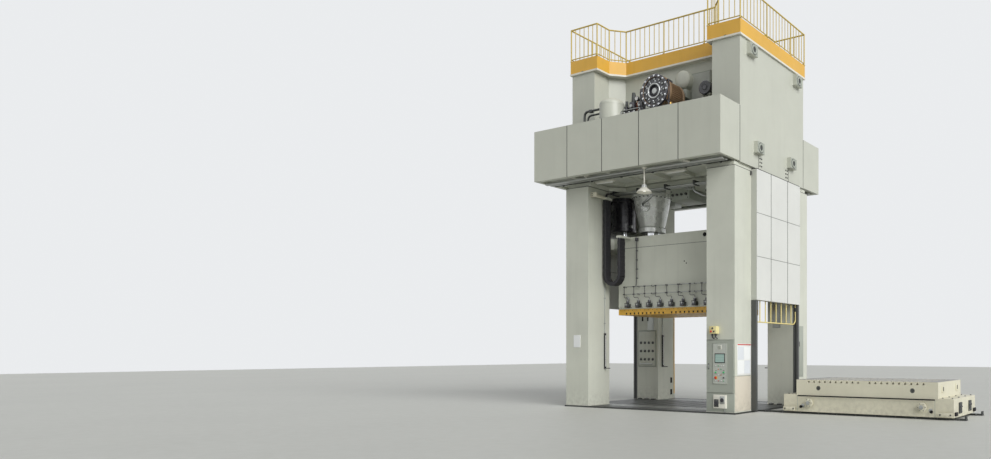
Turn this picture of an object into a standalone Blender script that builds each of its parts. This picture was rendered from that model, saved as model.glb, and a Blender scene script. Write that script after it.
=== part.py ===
"""Four-column hydraulic press with a bolster that rolls out to the right.

Metres, +Z up. The origin is on the floor, midway between the four columns. +X runs along
the front towards the parked bolster, and the front of the press faces -Y.
"""

from math import atan2, ceil, cos, hypot, pi, sin, tau

import bmesh
import bpy
from mathutils import Matrix

# Gaps
SEAT_GAP = 0.0003
RUNNING_GAP = 0.0005
SLIDING_GAP = 0.004
HOLE_GAP = 0.004

# Round pieces
ROUND_SIDES = 32
SMALL_SIDES = 20

# Columns and bed plate
PRESS_WIDTH = 5.80
PRESS_DEPTH = 4.16
COLUMN_WIDTH = 0.857
COLUMN_DEPTH = 0.904
COLUMN_WALL = 0.06
COLUMN_TOP = 6.36
BED_THICKNESS = 0.04
BED_MARGIN = 0.03

# Bolster rails, in one piece with the bed plate
RAIL_WIDTH = 0.16
RAIL_OVERRUN = 0.25

# Crown
CROWN_DEPTH = 3.643
CROWN_HEIGHT = 3.272
BOTTOM_PLATE_THICKNESS = 0.11
CROWN_WAIST = 1.70
CROWN_CHAMFER = 0.35
CROWN_CELL_MARGIN = 0.08
CENTRE_CELL_WIDTH = 1.0
BOTTOM_PLATE_INSET = 0.05
TOP_PLATE_THICKNESS = 0.05
TOP_PLATE_OVERHANG = 0.05
TOP_PLATE_INNER_OVERHANG = 0.15

# Lifting lugs on the crown's two sides
LUG_WIDTH = 0.37
LUG_HEIGHT = 0.30
LUG_DEPTH = 0.13
LUG_EYE_RADIUS = 0.07
LUG_EYE_DEPTH = 0.09
LUG_SPACING = 2.62
LUG_ROOT = 0.01
UPPER_LUG_DROP = 0.23
LOWER_LUG_RISE = 0.55
LOWER_LUG_SPACING = 1.90

# Yellow band and handrail round the crown's top
BAND_HEIGHT = 0.37
BAND_THICKNESS = 0.03
BAND_STEP = 0.012
RAIL_HEIGHT = 0.95
RAIL_BAR = 0.032
RAIL_PITCH = 0.55

# Tie rods
TIE_RADIUS = 0.11
TIE_NUT_RADIUS = 0.17
TIE_NUT_HEIGHT = 0.20
TIE_END_RADIUS = 0.09
TIE_END_LENGTH = 0.06

# Main cylinders and their rods
MAIN_OFFSET = 1.36
MAIN_BARREL_RADIUS = 0.56
MAIN_FLANGE_RADIUS = 0.63
MAIN_FLANGE_THICKNESS = 0.10
MAIN_CONE_TOP_RADIUS = 0.583
MAIN_CONE_BOTTOM_RADIUS = 0.385
MAIN_CONE_LENGTH = 0.90
MAIN_GLAND_RADIUS = 0.41
MAIN_GLAND_THICKNESS = 0.14
MAIN_GLAND_LAND = 0.10
MAIN_RISE = 2.84
MAIN_CAP_THICKNESS = 0.20
MAIN_BORE_RADIUS = 0.32
MAIN_ROD_RADIUS = 0.26
MAIN_PISTON_HEIGHT = 0.25
MAIN_ROD_FLANGE_RADIUS = 0.34
MAIN_ROD_FLANGE_THICKNESS = 0.09
MAIN_PISTON_DROP = 0.40

# Balance cylinders in the side bays, and their rods
BALANCE_RADIUS = 0.395
BALANCE_NECK_RADIUS = 0.29
BALANCE_LENGTH = 1.04
BALANCE_RISE = 1.54
BALANCE_WALL = 0.10
BALANCE_BORE_RADIUS = 0.20
BALANCE_ROD_RADIUS = 0.09
BALANCE_PISTON_HEIGHT = 0.15
BALANCE_PISTON_DROP = 0.20
BALANCE_FOOT_RADIUS = 0.16
BALANCE_FOOT_THICKNESS = 0.06

# Slide
SLIDE_WIDTH = 3.60
SLIDE_DEPTH = 2.08
SLIDE_HEADROOM = 0.25
SLIDE_HEAD_HEIGHT = 0.32
SLIDE_BODY_HEIGHT = 1.80
SLIDE_PLATE_THICKNESS = 0.17
SLIDE_WALL = 0.08
SLIDE_CELLS_ALONG = 3
SLIDE_CELLS_ACROSS = 2
WING_INSET = 0.18
WING_SHOULDER = 0.057

# T-slots of the slide plate and the bolster
SLOT_PITCH = 0.15
SLOTS_PER_HALF = 10
SLOT_NECK_WIDTH = 0.030
SLOT_NECK_DEPTH = 0.045
SLOT_HEAD_WIDTH = 0.055
SLOT_HEAD_DEPTH = 0.025

# Die clamps on the slide's front, with their pipe
CLAMP_PITCH = 0.40
CLAMP_COUNT = 8
CLAMP_WIDTH = 0.15
CLAMP_DEPTH = 0.16
CLAMP_RISE = 0.03
CLAMP_HEIGHT = 0.30
CLAMP_PIPE_RISE = 0.62
CLAMP_PIPE_SIZE = 0.035
CLAMP_DROP_SIZE = 0.025
CLAMP_DROP_SHIFT = 0.05

# Cable chain in front of the slide, and its two brackets
CHAIN_FIXED_X = -1.93
CHAIN_MOVING_X = -1.39
CHAIN_DEPTH_CENTRE = -1.41
CHAIN_WIDTH = 0.25
CHAIN_THICKNESS = 0.10
CHAIN_LINK = 0.10
CHAIN_LINK_GROOVE = 0.014
CHAIN_GROOVE_SHARE = 0.14
CHAIN_FIXED_DROP = 0.31
CHAIN_MOVING_DROP = 0.07
CHAIN_LENGTH = 1.38
CHAIN_BRACKET_THICKNESS = 0.06
CHAIN_ARM_WIDTH = 0.16

# Moving bolster, parked to the right of the press
BOLSTER_PARKED_X = 5.96
BOLSTER_LENGTH = 3.70
BOLSTER_DEPTH = 2.00
BOLSTER_THICKNESS = 0.41
BOLSTER_HOLE_RADIUS = 0.042
BOLSTER_HOLE_DEPTH = 0.15
BOLSTER_HOLE_OFFSET = 1.23
BOLSTER_HOLE_RISE = 0.20
CARRIAGE_LENGTH = 4.43
CARRIAGE_CLEARANCE = 0.02
CARRIAGE_END_RISE = 0.03
CARRIAGE_WALL = 0.06
CARRIAGE_DECK = 0.08
TRUNNION_RADIUS = 0.06
TRUNNION_REACH = 0.06
TRUNNION_OFFSET = 1.475
TRUNNION_RISE = 0.23

# Wheel sets under the bolster
WHEEL_RADIUS = 0.172
WHEEL_WIDTH = 0.11
WHEEL_SIDE_GAP = 0.085
WHEEL_CLEARANCE = 0.006
AXLE_RADIUS = 0.05
AXLE_OFFSET = 1.67

# Service deck round the crown, with its parapet
DECK_LEFT_REACH = 0.595
DECK_FRONT_REACH = 0.93
DECK_BACK_REACH = 1.08
DECK_FRAME_RISE = 0.033
FASCIA_HEIGHT = 1.441
FASCIA_THICKNESS = 0.04
FASCIA_PANELS = 5
FASCIA_SEAM_WIDTH = 0.012
FASCIA_SEAM_DEPTH = 0.012
DECK_FRAME_HEIGHT = 0.10
DECK_THICKNESS = 0.05
DECK_BEAM = 0.10
RECESS_BAYS = 4

# Machinery on the service deck
PUMP_X = 0.42
PUMP_STANDOFF = 0.45
PUMP_LENGTH = 0.90
PUMP_RISE = 1.972
PUMP_RADIUS = 0.45
PUMP_BODY_RADIUS = 0.40
PUMP_RING_LENGTH = 0.22
PUMP_HUB_RADIUS = 0.20
PUMP_HUB_DEPTH = 0.08
BLOCK_WIDTH = 1.00
BLOCK_SHOULDER = 0.70
BLOCK_SHOULDER_RISE = 0.15
BLOCK_STANDOFF = 0.25
BLOCK_LENGTH = 1.15
TANK_X = -1.13
TANK_STANDOFF = 1.25
TANK_RADIUS = 0.35
TANK_HEIGHT = 2.03
TANK_DOME = 0.16
PIPE_RADIUS = 0.035
PIPE_REACH = 0.68
PIPE_DROP = 0.20
PIPE_BEND = 0.14
BLOWER_X = 1.62
BLOWER_STANDOFF = 0.50
BLOWER_RISE = 2.05
BLOWER_RADIUS = 0.19
BLOWER_LENGTH = 0.42
BLOWER_STAND = 0.30

# Lamp under the service deck
LAMP_BEAM = 3
LAMP_INSET = 0.25
LAMP_STEM_RADIUS = 0.02
LAMP_STEM_LENGTH = 0.45
LAMP_RADIUS = 0.215
LAMP_HEIGHT = 0.22
LAMP_NECK_RADIUS = 0.06
LAMP_NECK_LENGTH = 0.088
LAMP_WALL = 0.012

# Side covers, with the guides of the side guards
COVER_LAP = 0.086
COVER_HEIGHT = 3.44
COVER_RISE = 0.04
COVER_REACH = 0.177
COVER_WALL = 0.012
COVER_LINING = 0.02
COVER_PANELS = 3
COVER_PANEL_WIDTH = 0.96
COVER_SEAM = 0.014
COVER_SEAM_DEPTH = 0.005
GUIDE_WIDTH = 0.092
GUIDE_REACH = 0.15
GUIDE_HEADROOM = 0.23
GUIDE_SLOT_DEPTH = 0.03

# Side guards
GUARD_INNER_X = 0.045
GUARD_THICKNESS = 0.04
GUARD_DROP = 0.59
GUARD_HEIGHT = 2.30
GUARD_LIFTS = {"left": 0.64, "right": 0.0}
GUARD_BARS = 7
GUARD_BAR = 0.035
GUARD_CORNER = 0.12

# Control cabinet in the front right column
DOOR_MARGIN = 0.02
DOOR_BOTTOM = 0.55
DOOR_TOP = 1.89
DOOR_THICKNESS = 0.03
DOOR_LAP = 0.05
PANEL_X = 2.48
PANEL_WIDTH = 0.42
PANEL_BOTTOM = 0.77
PANEL_TOP = 1.82
PANEL_THICKNESS = 0.012
SCREEN_WIDTH = 0.26
SCREEN_BOTTOM = 1.33
SCREEN_TOP = 1.53
SCREEN_THICKNESS = 0.014
CONTROL_SPACING = 0.12
START_ROW = 1.07
STOP_ROW = 0.93
BUTTON_RADIUS = 0.022
BUTTON_LENGTH = 0.022
BUTTON_TRAVEL = 0.005
STOP_RADIUS = 0.032
STOP_LENGTH = 0.030
STEM_RADIUS = 0.010
STEM_DEPTH = 0.004
SELECTOR_RADIUS = 0.022
SELECTOR_LENGTH = 0.030
SELECTOR_GRIP = 0.012
SELECTOR_GRIP_LENGTH = 0.0396

# Boxes and light curtains on the columns
SOCKET_WIDTH = 0.38
SOCKET_BOTTOM = 0.145
SOCKET_TOP = 0.495
SOCKET_DEPTH = 0.06
JUNCTION_X = 2.325
JUNCTION_WIDTH = 0.21
JUNCTION_BOTTOM = 2.06
JUNCTION_TOP = 2.25
JUNCTION_DEPTH = 0.14
CURTAIN_SIZE = 0.05
CURTAIN_BOTTOM = 1.11
CURTAIN_LENGTH = 1.02
CURTAIN_INSET = 0.22

LEFT_RIGHT = {"left": -1, "right": 1}
FRONT_BACK = {"front": -1, "back": 1}

# Sizes that follow from the ones above
COLUMN_INNER_X = PRESS_WIDTH / 2 - COLUMN_WIDTH
COLUMN_INNER_Y = PRESS_DEPTH / 2 - COLUMN_DEPTH
TIE_X = PRESS_WIDTH / 2 - COLUMN_WIDTH / 2
TIE_Y = PRESS_DEPTH / 2 - COLUMN_DEPTH / 2
FRONT_FACE = -PRESS_DEPTH / 2
FOOT = BED_THICKNESS + SEAT_GAP
CROWN_BOTTOM = COLUMN_TOP + BOTTOM_PLATE_THICKNESS
CROWN_TOP = CROWN_BOTTOM + CROWN_HEIGHT
TOP_PLATE_TOP = CROWN_TOP + SEAT_GAP + TOP_PLATE_THICKNESS
BAND_TOP = TOP_PLATE_TOP + SEAT_GAP + BAND_HEIGHT
MAIN_TOP = COLUMN_TOP + MAIN_RISE
MAIN_PISTON_TOP = MAIN_TOP - MAIN_CAP_THICKNESS - MAIN_PISTON_DROP
MAIN_CONE_BOTTOM = COLUMN_TOP - MAIN_FLANGE_THICKNESS - MAIN_CONE_LENGTH
MAIN_GLAND_BOTTOM = MAIN_CONE_BOTTOM - MAIN_GLAND_THICKNESS
BALANCE_TOP = COLUMN_TOP + BALANCE_RISE
BALANCE_BOTTOM = COLUMN_TOP - BALANCE_LENGTH
BALANCE_PISTON_TOP = BALANCE_TOP - BALANCE_WALL - BALANCE_PISTON_DROP
SLIDE_TOP = MAIN_GLAND_BOTTOM - SLIDE_HEADROOM
SLIDE_HEAD_BOTTOM = SLIDE_TOP - SLIDE_HEAD_HEIGHT
SLIDE_PLATE_TOP = SLIDE_HEAD_BOTTOM - SLIDE_BODY_HEIGHT
SLIDE_BOTTOM = SLIDE_PLATE_TOP - SLIDE_PLATE_THICKNESS
SLIDE_FRONT = -SLIDE_DEPTH / 2
CLAMP_BOTTOM = SLIDE_PLATE_TOP + CLAMP_RISE
CLAMP_TOP = CLAMP_BOTTOM + CLAMP_HEIGHT
CHAIN_FIXED_TOP = COLUMN_TOP - CHAIN_FIXED_DROP
CHAIN_MOVING_TOP = SLIDE_TOP - CHAIN_MOVING_DROP
CHAIN_LOWEST = CHAIN_MOVING_TOP - CHAIN_LENGTH
FASCIA_LEFT = -PRESS_WIDTH / 2 - DECK_LEFT_REACH
FASCIA_FRONT = -CROWN_DEPTH / 2 - DECK_FRONT_REACH
FASCIA_BACK = CROWN_DEPTH / 2 + DECK_BACK_REACH
FASCIA_BOTTOM = CROWN_BOTTOM + DECK_FRAME_RISE
FASCIA_TOP = FASCIA_BOTTOM + FASCIA_HEIGHT
DECK_BOTTOM = FASCIA_BOTTOM + DECK_FRAME_HEIGHT
DECK_TOP = DECK_BOTTOM + DECK_THICKNESS
DECK_FOOT = DECK_TOP + SEAT_GAP
RECESS_FRONT = -CROWN_WAIST / 2
COVER_TOP = COLUMN_TOP + COVER_RISE
COVER_BOTTOM = COVER_TOP - COVER_HEIGHT
COVER_HALF_WIDTH = COLUMN_INNER_Y + COVER_LAP
GUIDE_INNER = COVER_HALF_WIDTH - GUIDE_WIDTH
GUARD_BOTTOM = COVER_BOTTOM - GUARD_DROP
GUARD_TOP = GUARD_BOTTOM + GUARD_HEIGHT
RAIL_SPACING = BOLSTER_DEPTH - 2 * (CARRIAGE_WALL + WHEEL_SIDE_GAP) - WHEEL_WIDTH
AXLE_HEIGHT = FOOT + WHEEL_RADIUS
CARRIAGE_BOTTOM = BED_THICKNESS + CARRIAGE_CLEARANCE
CARRIAGE_TOP = FOOT + 2 * WHEEL_RADIUS + WHEEL_CLEARANCE + CARRIAGE_DECK
BOLSTER_BOTTOM = CARRIAGE_TOP + SEAT_GAP
BOLSTER_TOP = BOLSTER_BOTTOM + BOLSTER_THICKNESS
DOOR_FRONT = FRONT_FACE - SEAT_GAP - DOOR_THICKNESS
PANEL_FRONT = DOOR_FRONT - SEAT_GAP - PANEL_THICKNESS

# Colour, roughness and metallic value of each finish
FINISHES = {
    "machine_paint": ("#A9AD9F", 0.45, 0.0),
    "pale_paint": ("#E6E5DC", 0.45, 0.0),
    "cabinet_paint": ("#8F958C", 0.45, 0.0),
    "yellow_paint": ("#DDA23A", 0.45, 0.0),
    "rail_paint": ("#D2BD5E", 0.45, 0.0),
    "guard_paint": ("#E8D27A", 0.45, 0.0),
    "black_paint": ("#26262A", 0.40, 0.0),
    "ground_steel": ("#B5B7B5", 0.25, 1.0),
    "dark_steel": ("#4A4C4B", 0.55, 0.6),
    "chain_plastic": ("#26262A", 0.60, 0.0),
    "brown_paint": ("#8A5A35", 0.50, 0.0),
    "white_paint": ("#E9EAE6", 0.40, 0.0),
    "screen_glass": ("#9DB5AC", 0.15, 0.0),
    "red_plastic": ("#C8251F", 0.35, 0.0),
    "green_plastic": ("#2E9A55", 0.35, 0.0),
}


def collection(name, hidden=False):
    """A new collection in the scene."""
    made = bpy.data.collections.new(name)
    made.hide_render = hidden
    bpy.context.scene.collection.children.link(made)
    return made


def linear(channel):
    """One sRGB channel, from 0 to 1, as linear light."""
    return channel / 12.92 if channel <= 0.04045 else ((channel + 0.055) / 1.055) ** 2.4


def finish_material(name, finish):
    """A node's own material, in one of the finishes above."""
    colour, roughness, metallic = FINISHES[finish]
    channels = [linear(int(colour[k : k + 2], 16) / 255) for k in (1, 3, 5)]
    material = bpy.data.materials.new(name + "_" + finish)
    material.use_nodes = True
    shader = material.node_tree.nodes["Principled BSDF"]
    shader.inputs["Base Color"].default_value = (*channels, 1.0)
    shader.inputs["Roughness"].default_value = roughness
    shader.inputs["Metallic"].default_value = metallic
    material.diffuse_color = (*channels, 1.0)
    return material


def add(name, data, finish, location=(0, 0, 0), rotation=(0, 0, 0)):
    """Links a new object, as a piece of the press or, with no finish, as a cutter."""
    made = bpy.data.objects.new(name, data)
    made.location = location
    made.rotation_euler = rotation
    if finish:
        data.materials.append(finish_material(name, finish))
        PIECES.objects.link(made)
    else:
        made.hide_render = True
        made.display_type = "WIRE"
        CUTTERS.objects.link(made)
    return made


def boxes(name, corners, finish=None):
    """One mesh with a block between each pair of opposite corners."""
    mesh = bpy.data.meshes.new(name)
    shape = bmesh.new()
    for low, high in corners:
        centre = [(a + b) / 2 for a, b in zip(low, high)]
        size = [abs(b - a) for a, b in zip(low, high)]
        matrix = Matrix.Translation(centre) @ Matrix.Diagonal((*size, 1))
        bmesh.ops.create_cube(shape, size=1.0, matrix=matrix)
    shape.to_mesh(mesh)
    shape.free()
    return add(name, mesh, finish)


def box(name, low, high, finish=None):
    """A block between two opposite corners, with its origin at its centre."""
    centre = [(a + b) / 2 for a, b in zip(low, high)]
    half = [(b - a) / 2 for a, b in zip(low, high)]
    made = boxes(name, [([-size for size in half], half)], finish)
    made.location = centre
    return made


def plate(name, plane, outlines, low, high, finish=None):
    """Flat outlines in the plane XY, XZ or YZ, extruded across it from low to high."""
    turns = {"XY": (0, 0, 0), "XZ": (pi / 2, 0, 0), "YZ": (pi / 2, 0, pi / 2)}
    middle = (low + high) / 2
    places = {"XY": (0, 0, middle), "XZ": (0, middle, 0), "YZ": (middle, 0, 0)}
    curve = bpy.data.curves.new(name, "CURVE")
    curve.dimensions = "2D"
    curve.fill_mode = "BOTH"
    curve.extrude = (high - low) / 2
    for outline in outlines:
        spline = curve.splines.new("POLY")
        spline.points.add(len(outline) - 1)
        for point, (along, up) in zip(spline.points, outline):
            point.co = (along, up, 0, 1)
        spline.use_cyclic_u = True
    return add(name, curve, finish, places[plane], turns[plane])


def turned(name, profile, finish=None, centre=(0, 0, 0), axis="Z", sides=ROUND_SIDES):
    """A turned piece from (radius, height) points that run down its outer side."""
    turns = {"Z": (0, 0, 0), "Y": (-pi / 2, 0, 0)}
    mesh = bpy.data.meshes.new(name)
    edges = [(k, k + 1) for k in range(len(profile) - 1)]
    mesh.from_pydata([(radius, 0, height) for radius, height in profile], edges, [])
    made = add(name, mesh, finish, centre, turns[axis])
    screw = made.modifiers.new("Turn", "SCREW")
    screw.steps = sides
    screw.render_steps = sides
    screw.use_merge_vertices = True
    screw.merge_threshold = 0.0001
    screw.use_smooth_shade = False
    return made


def tube(name, points, radius, finish):
    """A round tube along a list of points."""
    curve = bpy.data.curves.new(name, "CURVE")
    curve.dimensions = "3D"
    curve.bevel_depth = radius
    curve.bevel_resolution = 2
    curve.use_fill_caps = True
    spline = curve.splines.new("POLY")
    spline.points.add(len(points) - 1)
    for point, place in zip(spline.points, points):
        point.co = (*place, 1)
    return add(name, curve, finish)


def as_mesh(made):
    """Turns an outline piece into a closed mesh object, so that it can be cut or joined."""
    bpy.context.view_layer.update()
    evaluated = made.evaluated_get(bpy.context.evaluated_depsgraph_get())
    mesh = bpy.data.meshes.new_from_object(evaluated)
    shape = bmesh.new()
    shape.from_mesh(mesh)
    bmesh.ops.remove_doubles(shape, verts=shape.verts, dist=0.00005)
    bmesh.ops.recalc_face_normals(shape, faces=shape.faces)
    shape.to_mesh(mesh)
    shape.free()
    name = made.name
    owner = made.users_collection[0]
    place = made.matrix_world.copy()
    bpy.data.objects.remove(made)
    solid = bpy.data.objects.new(name, mesh)
    solid.matrix_world = place
    owner.objects.link(solid)
    return solid


def boolean(made, tool, operation):
    """Cuts the tool out of a piece, or joins it on."""
    change = made.modifiers.new(operation.title(), "BOOLEAN")
    change.operation = operation
    change.solver = "EXACT"
    change.object = tool


def circle(centre, radius, sides=ROUND_SIDES):
    """The points of a round outline."""
    steps = [tau * k / sides for k in range(sides)]
    return [(centre[0] + radius * cos(a), centre[1] + radius * sin(a)) for a in steps]


def rectangle(x0, y0, x1, y1):
    """The corners of an upright rectangle."""
    return [(x0, y0), (x1, y0), (x1, y1), (x0, y1)]


def crown_outline(outside, inside, half_depth=CROWN_DEPTH / 2):
    """The crown's H-shaped plan, grown outside its four towers and inside its two recesses."""
    side = PRESS_WIDTH / 2 + outside
    end = half_depth + outside
    tower = COLUMN_INNER_X - inside
    waist = CROWN_WAIST / 2 + inside
    quarter = [(side, end), (tower, end), (tower, waist + CROWN_CHAMFER), (tower - CROWN_CHAMFER, waist)]
    half = quarter + [(-x, y) for x, y in reversed(quarter)]
    return half + [(-x, -y) for x, y in half]


def tie_holes():
    """A round outline for each of the four tie rods."""
    radius = TIE_RADIUS + HOLE_GAP
    return [circle((x, y), radius, SMALL_SIDES) for x in (-TIE_X, TIE_X) for y in (-TIE_Y, TIE_Y)]


def rods(name, places, radius, length, axis="Y"):
    """One mesh of round rods along an axis, as a tool for cutting or joining."""
    turn = Matrix.Rotation(pi / 2, 4, {"Y": "X", "X": "Y"}[axis])
    mesh = bpy.data.meshes.new(name)
    shape = bmesh.new()
    for place in places:
        bmesh.ops.create_cone(
            shape,
            cap_ends=True,
            segments=SMALL_SIDES,
            radius1=radius,
            radius2=radius,
            depth=length,
            matrix=Matrix.Translation(place) @ turn,
        )
    shape.to_mesh(mesh)
    shape.free()
    return add(name, mesh, None)


def cylinder_holes():
    """Round outlines for the barrels of the main and balance cylinders."""
    holes = []
    for side in LEFT_RIGHT.values():
        holes.append(circle((side * MAIN_OFFSET, 0), MAIN_BARREL_RADIUS + SEAT_GAP))
        holes.append(circle((side * TIE_X, 0), BALANCE_NECK_RADIUS + SEAT_GAP))
    return holes


def cut_slots(made, centre, surface, inward):
    """Cuts the T-slots along Y into a surface of a plate. Inward is 1 for up and -1 for down."""
    steps = [k for k in range(-SLOTS_PER_HALF, SLOTS_PER_HALF + 1) if k]
    places = [centre + step * SLOT_PITCH for step in steps]
    reach = BOLSTER_DEPTH
    shoulder = surface + inward * SLOT_NECK_DEPTH
    bottom = shoulder + inward * SLOT_HEAD_DEPTH
    spans = {
        "neck": (SLOT_NECK_WIDTH / 2, surface - inward * SLOT_NECK_DEPTH, (shoulder + bottom) / 2),
        "head": (SLOT_HEAD_WIDTH / 2, shoulder, bottom),
    }
    for part, (half, start, end) in spans.items():
        low, high = sorted((start, end))
        corners = [((x - half, -reach, low), (x + half, reach, high)) for x in places]
        boolean(made, boxes(f"{made.name}_slot_{part}s", corners), "DIFFERENCE")


def bed_plate():
    """The plate at floor level, with the two rails that the bolster runs out on."""
    side = PRESS_WIDTH / 2 + BED_MARGIN
    end = PRESS_DEPTH / 2 + BED_MARGIN
    rail_end = BOLSTER_PARKED_X + CARRIAGE_LENGTH / 2 + RAIL_OVERRUN
    outline = [(-side, -end), (side, -end)]
    for rail in (-RAIL_SPACING / 2, RAIL_SPACING / 2):
        low, high = rail - RAIL_WIDTH / 2, rail + RAIL_WIDTH / 2
        outline += [(side, low), (rail_end, low), (rail_end, high), (side, high)]
    outline += [(side, end), (-side, end)]
    plate("bed_plate", "XY", [outline], 0, BED_THICKNESS, "dark_steel")


def columns():
    """Four hollow columns. The front right one has the opening of the control cabinet."""
    wall = COLUMN_WALL
    for end_name, end in FRONT_BACK.items():
        for side_name, side in LEFT_RIGHT.items():
            xs = sorted((side * COLUMN_INNER_X, side * PRESS_WIDTH / 2))
            ys = sorted((end * COLUMN_INNER_Y, end * PRESS_DEPTH / 2))
            outer = rectangle(xs[0], ys[0], xs[1], ys[1])
            hollow = rectangle(xs[0] + wall, ys[0] + wall, xs[1] - wall, ys[1] - wall)
            name = f"column_{end_name}_{side_name}"
            made = plate(name, "XY", [outer, hollow], FOOT, COLUMN_TOP, "machine_paint")
            if (end, side) == (-1, 1):
                cut_cabinet_opening(as_mesh(made))


def cut_cabinet_opening(column):
    """Cuts the cabinet's opening through the front wall of its column."""
    inset = DOOR_MARGIN + DOOR_LAP
    low = (COLUMN_INNER_X + inset, FRONT_FACE - COLUMN_WALL / 2, DOOR_BOTTOM + DOOR_LAP)
    high = (PRESS_WIDTH / 2 - inset, FRONT_FACE + COLUMN_WALL * 1.5, DOOR_TOP - DOOR_LAP)
    boolean(column, box("cabinet_cutter", low, high), "DIFFERENCE")


def crown():
    """The cellular crown between its bottom and top plates, with its lifting lugs."""
    margin = CROWN_CELL_MARGIN
    cells = []
    for side in LEFT_RIGHT.values():
        for end in FRONT_BACK.values():
            xs = sorted((side * (COLUMN_INNER_X + margin), side * (PRESS_WIDTH / 2 - margin)))
            ys = sorted((end * (BALANCE_NECK_RADIUS + margin * 2), end * (TIE_Y - TIE_RADIUS - margin)))
            cells.append(rectangle(xs[0], ys[0], xs[1], ys[1]))
    half_cell = CENTRE_CELL_WIDTH / 2
    half_waist = CROWN_WAIST / 2 - margin
    cells.append(rectangle(-half_cell, -half_waist, half_cell, half_waist))
    outlines = [crown_outline(0, 0)] + tie_holes() + cylinder_holes() + cells
    body = as_mesh(plate("crown", "XY", outlines, CROWN_BOTTOM, CROWN_TOP, "machine_paint"))
    boolean(body, lifting_lugs(), "UNION")
    faces = [(side * (PRESS_WIDTH / 2 + LUG_DEPTH), y, z) for side, y, z in lug_places()]
    boolean(body, rods("lug_eyes", faces, LUG_EYE_RADIUS, LUG_EYE_DEPTH * 2, "X"), "DIFFERENCE")

    bottom = crown_outline(-BOTTOM_PLATE_INSET, BOTTOM_PLATE_INSET, PRESS_DEPTH / 2)
    low, high = COLUMN_TOP + SEAT_GAP, CROWN_BOTTOM - SEAT_GAP
    plate("crown_bottom_plate", "XY", [bottom] + tie_holes() + cylinder_holes(), low, high, "machine_paint")

    top = crown_outline(TOP_PLATE_OVERHANG, TOP_PLATE_INNER_OVERHANG)
    low = CROWN_TOP + SEAT_GAP
    plate("crown_top_plate", "XY", [top] + tie_holes(), low, TOP_PLATE_TOP, "pale_paint")


def lug_places():
    """The (side, y, z) centres of the eight lifting lugs."""
    rows = ((CROWN_TOP - UPPER_LUG_DROP, LUG_SPACING), (CROWN_BOTTOM + LOWER_LUG_RISE, LOWER_LUG_SPACING))
    return [
        (side, end * spacing / 2, height)
        for side in LEFT_RIGHT.values()
        for height, spacing in rows
        for end in FRONT_BACK.values()
    ]


def lifting_lugs():
    """The eight square lugs, rooted in the crown's sides."""
    corners = []
    for side, y, z in lug_places():
        xs = sorted((side * (PRESS_WIDTH / 2 - LUG_ROOT), side * (PRESS_WIDTH / 2 + LUG_DEPTH)))
        low = (xs[0], y - LUG_WIDTH / 2, z - LUG_HEIGHT / 2)
        corners.append((low, (xs[1], y + LUG_WIDTH / 2, z + LUG_HEIGHT / 2)))
    return boxes("lug_blocks", corners)


def platform_band():
    """The yellow band that stands on the crown's top plate."""
    outside = TOP_PLATE_OVERHANG - BAND_STEP
    inside = TOP_PLATE_INNER_OVERHANG - BAND_STEP
    outer = crown_outline(outside, inside)
    inner = crown_outline(outside - BAND_THICKNESS, inside - BAND_THICKNESS)
    low = TOP_PLATE_TOP + SEAT_GAP
    plate("platform_band", "XY", [outer, inner], low, BAND_TOP, "yellow_paint")


def handrail():
    """The handrail: a top rail on upright posts, which follows the band."""
    outside = TOP_PLATE_OVERHANG - BAND_STEP
    inside = TOP_PLATE_INNER_OVERHANG - BAND_STEP
    outer = crown_outline(outside, inside)
    inner = crown_outline(outside - RAIL_BAR, inside - RAIL_BAR)
    middle = crown_outline(outside - RAIL_BAR / 2, inside - RAIL_BAR / 2)
    low = BAND_TOP + SEAT_GAP
    high = low + RAIL_HEIGHT
    rail = as_mesh(plate("handrail", "XY", [outer, inner], low, high, "rail_paint"))
    mesh = bpy.data.meshes.new("rail_windows")
    shape = bmesh.new()
    for start, end in zip(middle, middle[1:] + middle[:1]):
        add_rail_windows(shape, start, end, low - RAIL_BAR, high - RAIL_BAR)
    shape.to_mesh(mesh)
    shape.free()
    boolean(rail, add("rail_windows", mesh, None), "DIFFERENCE")


def add_rail_windows(shape, start, end, low, high):
    """Adds the openings between the posts of one straight run."""
    along = (end[0] - start[0], end[1] - start[1])
    length = hypot(*along)
    usable = length - RAIL_BAR
    count = max(1, round(usable / RAIL_PITCH))
    pitch = usable / count
    turn = Matrix.Rotation(atan2(along[1], along[0]), 4, "Z")
    size = Matrix.Diagonal((pitch - RAIL_BAR, RAIL_BAR * 1.5, high - low, 1))
    for k in range(count):
        share = (RAIL_BAR / 2 + pitch * (k + 0.5)) / length
        centre = (start[0] + along[0] * share, start[1] + along[1] * share, (low + high) / 2)
        bmesh.ops.create_cube(shape, size=1.0, matrix=Matrix.Translation(centre) @ turn @ size)


def tie_rods():
    """The four tie rods, each with its nut on the crown's top plate."""
    nut_bottom = TOP_PLATE_TOP + SEAT_GAP
    nut_top = nut_bottom + TIE_NUT_HEIGHT
    end_top = nut_top + TIE_END_LENGTH
    profile = [
        (0, end_top),
        (TIE_END_RADIUS, end_top),
        (TIE_END_RADIUS, nut_top),
        (TIE_NUT_RADIUS, nut_top),
        (TIE_NUT_RADIUS, nut_bottom),
        (TIE_RADIUS, nut_bottom),
        (TIE_RADIUS, FOOT),
        (0, FOOT),
    ]
    for end_name, end in FRONT_BACK.items():
        for side_name, side in LEFT_RIGHT.items():
            place = (side * TIE_X, end * TIE_Y, 0)
            turned(f"tie_rod_{end_name}_{side_name}", profile, "dark_steel", place, sides=SMALL_SIDES)


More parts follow.
